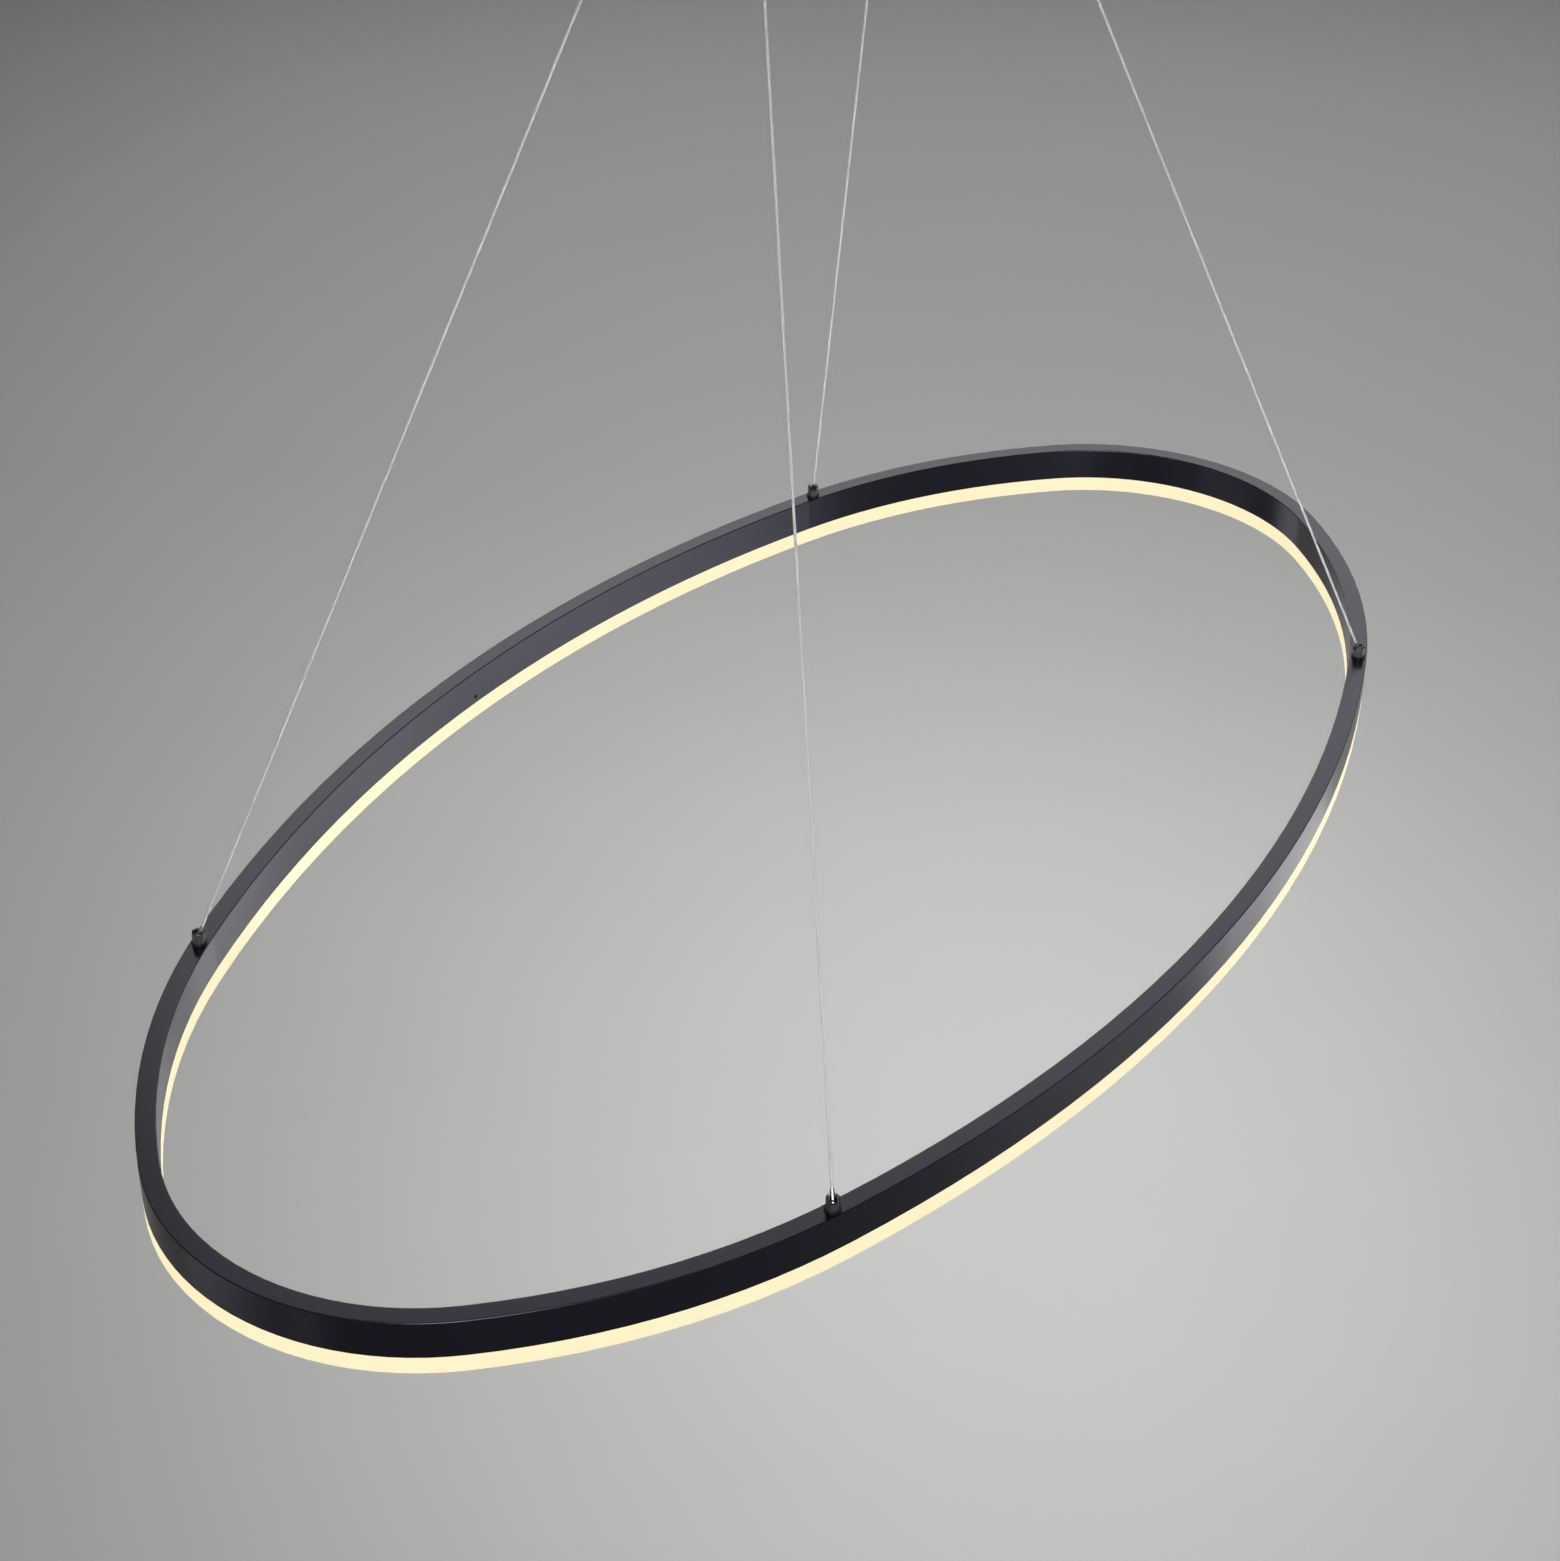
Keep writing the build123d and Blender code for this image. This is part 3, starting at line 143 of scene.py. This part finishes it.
def number(name, default, description, **kind):
    """Property for a plain number, or for an angle or a lens where kind says so."""
    return bpy.props.FloatProperty(name=name, description=description, default=default, **kind)


class PendantSizes(bpy.types.PropertyGroup):
    """Sizes of the wires and springs, the same as in the solid model."""

    holder_x: length("Holder X", 307.1, "Wire holders, left and right of the middle")
    holder_y: length("Holder Y", 198.64, "Wire holders, before and behind the middle")
    ball_height: length("Ball height", -694.1, "Middle of the wire ends' balls")
    gripper_x: length("Gripper X", 78.0, "Wire grippers, left and right of the middle")
    wire_y: length("Wire Y", 2.2, "Wires in a gripper, before and behind its middle")
    bend_height: length("Bend height", -45.6, "Where the wires bend in the grippers")
    wire_diameter: length("Wire diameter", 1.5, "Over the jacket")
    wire_start: length("Wire start", 4.0, "Lower end of a wire, from its ball's middle")
    bend_room: length("Bend room", 0.6, "Between a wire and its tail, in the gripper's mouth")
    wire_lay: length("Lay", 14.0, "Length of one turn of the strands")
    ring_step: length("Ring step", 0.55, "Least distance between rings of a wire's mesh")
    ring_travel: length("Ring travel", 200.0, "How far the light body can be raised")
    coil_diameter: length("Coil diameter", 7.0, "Middle of the spring's wire")
    coil_wire: length("Coil wire", 0.7, "Spring wire")
    coil_pitch: length("Coil pitch", 1.45, "From turn to turn")
    coil_low: length("Coil low", -27.0, "Lower end of the springs")
    coil_high: length("Coil high", -21.0, "Upper end of the springs")
    plunger_travel: length("Plunger travel", 2.5, "How far a plunger is pressed in")


class PendantColours(bpy.types.PropertyGroup):
    """Main colours of the lamp."""

    channel: colour("Channel", "#06050b", "Black anodised channel")
    channel_grain: colour("Channel grain", "#0c0b13", "Lighter grain of the channel")
    glow: colour("Glow", "#fff1c6", "Lit diffuser")
    opal: colour("Opal", "#5c594e", "Diffuser's own plastic")
    wire: colour("Wire", "#dadad8", "Steel strands in their clear jacket")
    holder: colour("Holder", "#323236", "Wire holders")
    nickel: colour("Nickel", "#b4b2ae", "Wire ends and grippers")
    canopy: colour("Canopy", "#1b1b1e", "Canopy cover")


class PendantStudio(bpy.types.PropertyGroup):
    """Camera, floor and lights."""

    azimuth: number("Azimuth", math.radians(-57.343), "Camera round the lamp", subtype="ANGLE")
    elevation: number("Elevation", math.radians(32.753), "Camera over the ring", subtype="ANGLE")
    roll: number("Roll", math.radians(0.064), "Turn of the picture", subtype="ANGLE")
    distance: length("Distance", 1745.9, "Camera from its target")
    target: bpy.props.FloatVectorProperty(
        name="Target", description="Point in the middle of the picture",
        default=(-0.0051, 0.0248, -0.6986), subtype="TRANSLATION",
    )
    lens: number("Lens", 69.73, "Focal length in millimetres", unit="CAMERA")
    floor_drop: length("Floor drop", 3000.0, "Floor below the light body")
    floor_size: length("Floor size", 25600.0, "Across the round floor")
    floor: colour("Floor", "#c9c9c8", "Pale floor")
    sky: colour("Sky", "#e8e8ea", "Soft light from all around")
    sky_power: number("Sky power", 0.06, "Strength of the light from overhead")
    haze_power: number("Haze power", 0.34, "Strength of the light round the horizon")
    haze_height: number("Haze height", 0.5, "Sine of the slope at which the haze has faded")


def add_node(tree, kind, settings=None, sockets=None, links=None):
    """Adds a node, with its settings, its sockets' values and the links into it."""
    node = tree.nodes.new(kind)
    for name, value in (settings or {}).items():
        setattr(node, name, value)
    for name, value in (sockets or {}).items():
        node.inputs[name].default_value = value
    for name, source in (links or {}).items():
        tree.links.new(source, node.inputs[name])
    return node


def finish(name, tones, grain_mm, roughness, bump_mm=0.0, stretch=(1, 1, 1), **shader):
    """Material whose colour, roughness and relief follow one grain of a real size.

    Tones are two linear colours, roughness is the least and the most, and shader holds
    constant sockets of the surface.
    """
    material = bpy.data.materials.new(name)
    material.use_nodes = True
    tree = material.node_tree
    surface = tree.nodes["Principled BSDF"]
    for socket, value in shader.items():
        surface.inputs[socket.replace("_", " ").title().replace("Ior", "IOR")].default_value = value
    place = add_node(tree, "ShaderNodeTexCoord")
    grid = add_node(
        tree, "ShaderNodeMapping", sockets={"Scale": stretch}, links={"Vector": place.outputs["Object"]}
    )
    grain = add_node(
        tree, "ShaderNodeTexNoise",
        sockets={"Scale": 1000 / grain_mm, "Detail": GRAIN_DETAIL, "Roughness": GRAIN_FALLOFF},
        links={"Vector": grid.outputs["Vector"]},
    )
    tint = add_node(tree, "ShaderNodeValToRGB", links={"Fac": grain.outputs["Fac"]})
    for element, position, tone in zip(tint.color_ramp.elements, GRAIN_ENDS, tones):
        element.position = position
        element.color = (*tone, 1)
    tree.links.new(tint.outputs["Color"], surface.inputs["Base Color"])
    low, high = GRAIN_ENDS
    smoothest, roughest = roughness
    gloss = add_node(
        tree, "ShaderNodeMapRange",
        sockets={"From Min": low, "From Max": high, "To Min": smoothest, "To Max": roughest},
        links={"Value": grain.outputs["Fac"]},
    )
    tree.links.new(gloss.outputs["Result"], surface.inputs["Roughness"])
    if bump_mm:
        relief = add_node(
            tree, "ShaderNodeBump",
            sockets={"Strength": 1.0, "Distance": bump_mm / 1000},
            links={"Height": grain.outputs["Fac"]},
        )
        tree.links.new(relief.outputs["Normal"], surface.inputs["Normal"])
    return material


def dress(material, *nodes):
    """Gives the material to whole nodes of the solid model."""
    for node in nodes:
        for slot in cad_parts[node].material_slots:
            slot.material = material


def smooth(piece, angle=math.radians(40)):
    """Shades a piece smooth, apart from its sharp edges."""
    bpy.ops.object.select_all(action="DESELECT")
    bpy.context.view_layer.objects.active = piece
    piece.select_set(True)
    bpy.ops.object.shade_smooth_by_angle(angle=angle)
    piece.select_set(False)


def read_route(points):
    """Points of the smooth line that has these control points."""
    data = bpy.data.curves.new("route", "CURVE")
    data.dimensions = "3D"
    data.resolution_u = ROUTE_POINTS
    spline = data.splines.new("NURBS")
    spline.points.add(len(points) - 1)
    for knot, point in zip(spline.points, points):
        knot.co = (*point, 1)
    spline.order_u = 3
    spline.use_endpoint_u = True
    holder = bpy.data.objects.new("route", data)
    mesh = bpy.data.meshes.new_from_object(holder)
    line = [v.co.copy() for v in mesh.vertices]
    bpy.data.objects.remove(holder)
    bpy.data.meshes.remove(mesh)
    return line


def strand_section(radius):
    """Angle and radius of the points round a wire of six strands laid on a seventh."""
    strand = radius / 3
    middle = radius - strand
    sector = math.tau / STRANDS
    section = []
    for index in range(WIRE_POINTS):
        angle = math.tau * index / WIRE_POINTS
        swing = (angle + sector / 2) % sector - sector / 2
        inside = max(strand ** 2 - (middle * math.sin(swing)) ** 2, 0.0)
        reach = middle * math.cos(swing) + math.sqrt(inside)
        section.append((angle, max(reach, GROOVE_SHARE * radius)))
    return section


class PENDANT_OT_wires(bpy.types.Operator):
    """Four steel wires, taut from the wire ends up to the grippers"""

    bl_idname = "pendant.wires"
    bl_label = "Suspension wires"

    def execute(self, context):
        sizes = context.scene.pendant_sizes
        tones = context.scene.pendant_colours
        # Steel strand under a thin clear jacket: pale grey and satin, with the lay showing through
        steel = finish(
            "jacketed_steel_strand", (darker(tones.wire, 0.9), tuple(tones.wire)), 2.0, (0.32, 0.5),
            metallic=0.05,
        )
        radius = sizes.wire_diameter / 2
        section = strand_section(radius)
        for name, side_x, side_y in CORNERS:
            foot = Vector((side_x * sizes.holder_x, side_y * sizes.holder_y, sizes.ball_height))
            top = Vector((side_x * sizes.gripper_x, side_y * sizes.wire_y, sizes.bend_height))
            along = (top - foot).normalized()
            start = foot + along * sizes.wire_start
            end = top - along * (radius + sizes.bend_room)
            near = END_RUN * sizes.wire_diameter * along
            line = read_route((start, start + near, end - near, end))
            rings = [line[0]]
            for point in line:
                if (point - rings[-1]).length > sizes.ring_step:
                    rings.append(point)
            rings[-1] = line[-1]
            across = along.orthogonal().normalized()
            beside = along.cross(across)
            verts, faces = [], []
            count = len(section)
            for index, point in enumerate(rings):
                turn = math.tau * (point - start).length / sizes.wire_lay
                for angle, reach in section:
                    spoke = across * math.cos(angle + turn) + beside * math.sin(angle + turn)
                    verts.append(point + spoke * reach)
                for step in range(count if index else 0):
                    low, high = (index - 1) * count, index * count
                    after = (step + 1) % count
                    faces.append((low + step, low + after, high + after, high + step))
            last = len(verts) - count
            faces.append(tuple(reversed(range(count))))
            faces.append(tuple(range(last, last + count)))
            mesh = bpy.data.meshes.new(f"suspension_wire_{name}")
            mesh.from_pydata(verts, [], faces)
            wire = bpy.data.objects.new(f"suspension_wire_{name}", mesh)
            context.scene.collection.objects.link(wire)
            mesh.materials.append(steel)
            smooth(wire, math.radians(60))
            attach(wire, "suspension")
            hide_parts(f"wire_{name}")
            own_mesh(wire)
        dress(steel, "wire_tails")
        return {"FINISHED"}


class PENDANT_OT_springs(bpy.types.Operator):
    """Coil springs over the plungers of the grippers"""

    bl_idname = "pendant.springs"
    bl_label = "Gripper springs"

    def execute(self, context):
        sizes = context.scene.pendant_sizes
        # Hard drawn spring wire: bright grey with a fine grain
        steel = finish(
            "spring_steel", (linear("#8d8d8f"), linear("#a5a5a6")), 0.6, (0.2, 0.35), metallic=1.0
        )
        height = sizes.coil_high - sizes.coil_low
        rise = height - sizes.coil_wire
        turns = rise / sizes.coil_pitch
        bpy.ops.object.select_all(action="DESELECT")
        bpy.ops.mesh.primitive_circle_add(
            vertices=COIL_POINTS, radius=sizes.coil_wire / 2, rotation=(math.pi / 2, 0, 0),
            location=(sizes.coil_diameter / 2, 0, sizes.coil_low + sizes.coil_wire / 2),
        )
        coil = context.active_object
        bpy.ops.object.transform_apply(location=True, rotation=True, scale=True)
        winding = coil.modifiers.new("winding", "SCREW")
        winding.angle = math.tau * turns
        winding.screw_offset = rise
        winding.steps = winding.render_steps = COIL_STEPS
        winding.use_smooth_shade = True
        winding.use_merge_vertices = False
        bpy.ops.object.modifier_apply(modifier="winding")
        bpy.ops.object.mode_set(mode="EDIT")
        bpy.ops.mesh.select_all(action="SELECT")
        bpy.ops.mesh.fill_holes(sides=0)
        bpy.ops.mesh.select_all(action="SELECT")
        bpy.ops.mesh.normals_make_consistent(inside=False)
        bpy.ops.object.mode_set(mode="OBJECT")
        coil.data.materials.append(steel)
        for side, side_x in ENDS:
            spring = coil.copy()
            spring.data = coil.data.copy()
            spring.name = f"release_spring_{side}"
            context.scene.collection.objects.link(spring)
            bpy.ops.object.select_all(action="DESELECT")
            context.view_layer.objects.active = spring
            spring.select_set(True)
            spring.location = (side_x * sizes.gripper_x, 0, 0)
            bpy.ops.object.transform_apply(location=True, rotation=True, scale=True)
            smooth(spring)
            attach(spring, "canopy")
            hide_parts(f"gripper_spring_{side}")
            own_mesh(spring)
        bpy.data.objects.remove(coil)
        dress(steel, "clamp_balls_left", "clamp_balls_right")
        return {"FINISHED"}


class PENDANT_OT_channel(bpy.types.Operator):
    """Aluminium channel of the light body and the pieces that join it"""

    bl_idname = "pendant.channel"
    bl_label = "Channel"

    def execute(self, context):
        tones = context.scene.pendant_colours
        # Anodised aluminium, blasted before dyeing: dark, even and satin, with a grain of
        # about 0.2 mm that is drawn at 0.8 mm so that it shows
        black = finish(
            "black_anodised_aluminium", (tuple(tones.channel), tuple(tones.channel_grain)),
            0.8, (0.21, 0.27), bump_mm=0.0007, ior=1.7, specular_tint=(0.8, 0.77, 1.0, 1),
        )
        dress(black, "profile_left", "profile_right")
        # Extruded aluminium without a coat: pale metal with die lines along the bar
        mill = finish(
            "mill_aluminium", (linear("#a9aaad"), linear("#c2c3c5")), 0.5, (0.28, 0.42),
            bump_mm=0.004, stretch=(0.05, 1, 1), metallic=1.0,
        )
        dress(mill, "splice_bars", "splice_plates")
        return {"FINISHED"}


class PENDANT_OT_light(bpy.types.Operator):
    """Opal diffuser, lit, with the LED tape behind it"""

    bl_idname = "pendant.light"
    bl_label = "Light"

    def execute(self, context):
        tones = context.scene.pendant_colours
        # Opal acrylic, extruded and lit from inside: an even cream glow, a touch stronger
        # at the pitch of the LEDs
        opal = finish(
            "opal_acrylic", (darker(tones.opal, 0.97), tuple(tones.opal)), LED_PITCH, (0.4, 0.5),
            ior=1.49, emission_strength=0.93,
        )
        tree = opal.node_tree
        place = add_node(tree, "ShaderNodeTexCoord")
        spots = add_node(
            tree, "ShaderNodeTexNoise", sockets={"Scale": 1000 / LED_PITCH, "Detail": 0.0},
            links={"Vector": place.outputs["Object"]},
        )
        ramp = add_node(tree, "ShaderNodeValToRGB", links={"Fac": spots.outputs["Fac"]})
        for element, position, share in zip(ramp.color_ramp.elements, GRAIN_ENDS, (0.98, 1.0)):
            element.position = position
            element.color = (*darker(tones.glow, share), 1)
        surface = tree.nodes["Principled BSDF"]
        tree.links.new(ramp.outputs["Color"], surface.inputs["Emission Color"])
        dress(opal, "diffuser_front", "diffuser_rear")
        # Flexible board under white solder mask: matt white with a faint weave
        mask = finish(
            "white_solder_mask", (linear("#e6e5e0"), linear("#f3f2ee")), 0.5, (0.45, 0.6), bump_mm=0.01
        )
        dress(mask, "led_tape_left", "led_tape_right")
        # Silicone with phosphor, cast in the LED chips: matt yellow
        phosphor = finish(
            "cast_phosphor", (linear("#e8c84a"), linear("#f3d868")), 0.3, (0.35, 0.5),
            emission_color=(*linear("#fff0c0"), 1), emission_strength=1.0,
        )
        dress(phosphor, "led_chips")
        return {"FINISHED"}


class PENDANT_OT_fittings(bpy.types.Operator):
    """Wire holders, wire ends, grippers and screws"""

    bl_idname = "pendant.fittings"
    bl_label = "Fittings"

    def execute(self, context):
        tones = context.scene.pendant_colours
        # Turned steel, blackened in a hot bath: satin black with faint turning marks
        oxide = finish(
            "black_oxide_steel", (tuple(tones.holder), linear("#424246")), 0.3, (0.24, 0.34),
            bump_mm=0.003, stretch=(1, 1, 6), ior=1.8,
        )
        dress(oxide, "cover_screws", *[f"wire_holder_{c[0]}" for c in CORNERS])
        # Hardened grub screws, left as quenched: dull black scale
        scale = finish(
            "quenched_steel", (linear("#09090b"), linear("#141416")), 0.2, (0.6, 0.75), bump_mm=0.01
        )
        dress(scale, "splice_screws")
        # Turned brass under satin nickel: bright, slightly warm metal
        nickel = finish(
            "satin_nickel", (darker(tones.nickel, 0.9), tuple(tones.nickel)), 0.4, (0.22, 0.34),
            bump_mm=0.002, stretch=(1, 1, 5), metallic=1.0,
        )
        dress(nickel, *[f"wire_end_{c[0]}" for c in CORNERS])
        dress(nickel, *[f"{part}_{end[0]}" for part in ("gripper_body", "plunger") for end in ENDS])
        # Rolled steel, zinc plated and passivated: grey metal with soft bluish cloudiness
        zinc = finish(
            "zinc_plated_steel", (linear("#a3a6ab"), linear("#c3c5c6")), 6.0, (0.3, 0.46),
            bump_mm=0.01, metallic=1.0,
        )
        dress(zinc, "ceiling_plate", "driver_screws", "earth_screw", "terminal_screws")
        dress(zinc, "hanger_studs", "hanger_nuts", "gripper_nuts")
        # Moulded nylon, black: matt, with a fine spark-eroded grain
        nylon = finish(
            "black_nylon", (linear("#131315"), linear("#1d1d1f")), 0.4, (0.5, 0.65), bump_mm=0.015
        )
        dress(nylon, "hanger_bushes", "hanger_washers", "gripper_bushes", "gripper_washers")
        # Stamped copper, tin dipped: pale metal with a warm cast
        tin = finish(
            "tinned_copper", (linear("#c4b8ab"), linear("#d8d2ca")), 1.5, (0.25, 0.45),
            bump_mm=0.01, metallic=1.0,
        )
        dress(tin, "hanger_lugs", "gripper_lugs")
        return {"FINISHED"}


class PENDANT_OT_canopy(bpy.types.Operator):
    """Canopy cover, driver, terminal block and leads"""

    bl_idname = "pendant.canopy"
    bl_label = "Canopy"

    def execute(self, context):
        tones = context.scene.pendant_colours
        # Pressed steel with baked powder: matt black, softly pebbled at about 1.2 mm
        powder = finish(
            "black_powder_coat", (tuple(tones.canopy), linear("#232326")), 1.2, (0.5, 0.62),
            bump_mm=0.03, ior=1.5,
        )
        dress(powder, "canopy_cover")
        # Moulded rubber: dull black, dusted
        rubber = finish(
            "moulded_rubber", (linear("#161616"), linear("#242423")), 1.0, (0.7, 0.85), bump_mm=0.02
        )
        dress(rubber, "cable_grommet")
        # Moulded ABS: off-white with a fine texture
        case = finish(
            "white_abs", (linear("#dcdbd5"), linear("#e8e7e2")), 0.6, (0.45, 0.6), bump_mm=0.02
        )
        dress(case, "driver_base", "driver_lid")
        # Glass-filled polyamide: ivory, dull, slightly flecked
        ivory = finish(
            "ivory_polyamide", (linear("#d9d5c4"), linear("#e6e3d6")), 0.8, (0.4, 0.55), bump_mm=0.02
        )
        dress(ivory, "terminal_block")
        # Glass laminate under solder mask: glossy green with the weave showing faintly
        board = finish(
            "green_laminate", (linear("#1b4d2c"), linear("#246238")), 0.7, (0.3, 0.42), bump_mm=0.01
        )
        dress(board, "driver_board")
        # Extruded soft PVC: smooth, slightly glossy insulation
        for name, dark, light, nodes in (
            ("brown_pvc", "#5b3a22", "#6b4629", ("live_lead",)),
            ("blue_pvc", "#23509c", "#2c5fb2", ("neutral_lead",)),
            ("green_pvc", "#4f8f2a", "#a9b830", ("earth_lead",)),
            ("red_pvc", "#a82018", "#bb2c22", ("positive_lead", "feed_leads")),
            ("black_pvc", "#151515", "#202020", ("negative_lead",)),
        ):
            pvc = finish(name, (linear(dark), linear(light)), 3.0, (0.3, 0.4), bump_mm=0.01)
            dress(pvc, *nodes)
        return {"FINISHED"}


class PENDANT_OT_studio(bpy.types.Operator):
    """Camera at the photograph's angle, pale floor and soft light"""

    bl_idname = "pendant.studio"
    bl_label = "Studio"

    def execute(self, context):
        scene = context.scene
        studio = scene.pendant_studio
        scene.view_settings.view_transform = "Standard"
        flat = Vector((math.sin(studio.azimuth), -math.cos(studio.azimuth), 0))
        back = flat * math.cos(studio.elevation) + Vector((0, 0, math.sin(studio.elevation)))
        right = Vector((-flat.y, flat.x, 0))
        target = Vector(studio.target)
        bpy.ops.object.select_all(action="DESELECT")
        bpy.ops.object.camera_add(location=target + back * studio.distance)
        camera = context.active_object
        camera.rotation_mode = "QUATERNION"
        up = back.cross(right)
        lean_right = right * math.cos(studio.roll) + up * math.sin(studio.roll)
        lean_up = up * math.cos(studio.roll) - right * math.sin(studio.roll)
        axes = Matrix((lean_right, lean_up, back)).transposed()
        camera.rotation_quaternion = axes.to_quaternion()
        camera.data.lens = studio.lens
        camera.data.sensor_width = SENSOR_WIDTH
        scene.camera = camera
        bpy.ops.object.select_all(action="DESELECT")
        floor_height = CAD_BOX[0].z - studio.floor_drop
        bpy.ops.mesh.primitive_circle_add(
            vertices=FLOOR_POINTS, radius=studio.floor_size / 2, fill_type="NGON",
            location=(0, 0, floor_height),
        )
        floor = context.active_object
        floor.name = "studio_floor"
        bpy.ops.object.transform_apply(location=True, rotation=True, scale=True)
        # Matt paper: pale grey, very faintly mottled
        paper = finish(
            "matt_paper", (darker(studio.floor, 0.985), tuple(studio.floor)), 400.0, (0.9, 0.95),
            specular_ior_level=0.1,
        )
        floor.data.materials.append(paper)
        world = bpy.data.worlds.new("studio_air")
        world.use_nodes = True
        # Air of the studio: lighter round the horizon than overhead
        air = world.node_tree
        sight = add_node(air, "ShaderNodeTexCoord")
        rise = add_node(air, "ShaderNodeSeparateXYZ", links={"Vector": sight.outputs["Generated"]})
        slope = add_node(
            air, "ShaderNodeMath", settings={"operation": "ABSOLUTE"}, links={"Value": rise.outputs["Z"]}
        )
        haze = add_node(
            air, "ShaderNodeMapRange", settings={"interpolation_type": "SMOOTHSTEP"},
            sockets={
                "From Max": studio.haze_height, "To Min": studio.haze_power, "To Max": studio.sky_power
            },
            links={"Value": slope.outputs["Value"]},
        )
        sky = air.nodes["Background"]
        sky.inputs["Color"].default_value = (*studio.sky, 1)
        air.links.new(haze.outputs["Result"], sky.inputs["Strength"])
        scene.world = world
        for name, aside, away, over, width, depth, power, spread, facing in LIGHTS:
            place = target + right * aside - flat * away + Vector((0, 0, over))
            aims = {"down": Vector((0, 0, -1)), "up": Vector((0, 0, 1)), "lamp": target - place}
            shine = aims[facing].normalized()
            bpy.ops.object.light_add(type="AREA", location=place)
            light = context.active_object
            light.name = name
            light.data.shape = "RECTANGLE"
            light.data.size = width
            light.data.size_y = depth
            light.data.energy = power
            light.data.spread = math.radians(spread)
            light.visible_camera = False
            across = flat.cross(shine).normalized()
            light.rotation_mode = "QUATERNION"
            turn = Matrix((across, across.cross(shine), -shine)).transposed()
            light.rotation_quaternion = turn.to_quaternion()
        return {"FINISHED"}


class PENDANT_PT_panel(bpy.types.Panel):
    """Steps that dress the lamp"""

    bl_label = "Pendant lamp"
    bl_space_type = "VIEW_3D"
    bl_region_type = "UI"
    bl_category = "Pendant"

    def draw(self, context):
        for step in STEPS:
            self.layout.operator(step.bl_idname)


STEPS = (
    PENDANT_OT_studio,
    PENDANT_OT_wires,
    PENDANT_OT_springs,
    PENDANT_OT_channel,
    PENDANT_OT_light,
    PENDANT_OT_fittings,
    PENDANT_OT_canopy,
)
GROUPS = {
    "pendant_sizes": PendantSizes,
    "pendant_colours": PendantColours,
    "pendant_studio": PendantStudio,
}


def register():
    for kind in (*GROUPS.values(), *STEPS, PENDANT_PT_panel):
        bpy.utils.register_class(kind)
    for name, kind in GROUPS.items():
        setattr(bpy.types.Scene, name, bpy.props.PointerProperty(type=kind))


def unregister():
    for name in GROUPS:
        delattr(bpy.types.Scene, name)
    for kind in reversed((*GROUPS.values(), *STEPS, PENDANT_PT_panel)):
        bpy.utils.unregister_class(kind)


def main():
    """Runs every step in order."""
    register()
    bpy.ops.pendant.studio()
    bpy.ops.pendant.wires()
    bpy.ops.pendant.springs()
    bpy.ops.pendant.channel()
    bpy.ops.pendant.light()
    bpy.ops.pendant.fittings()
    bpy.ops.pendant.canopy()


if __name__ == "__main__":
    main()
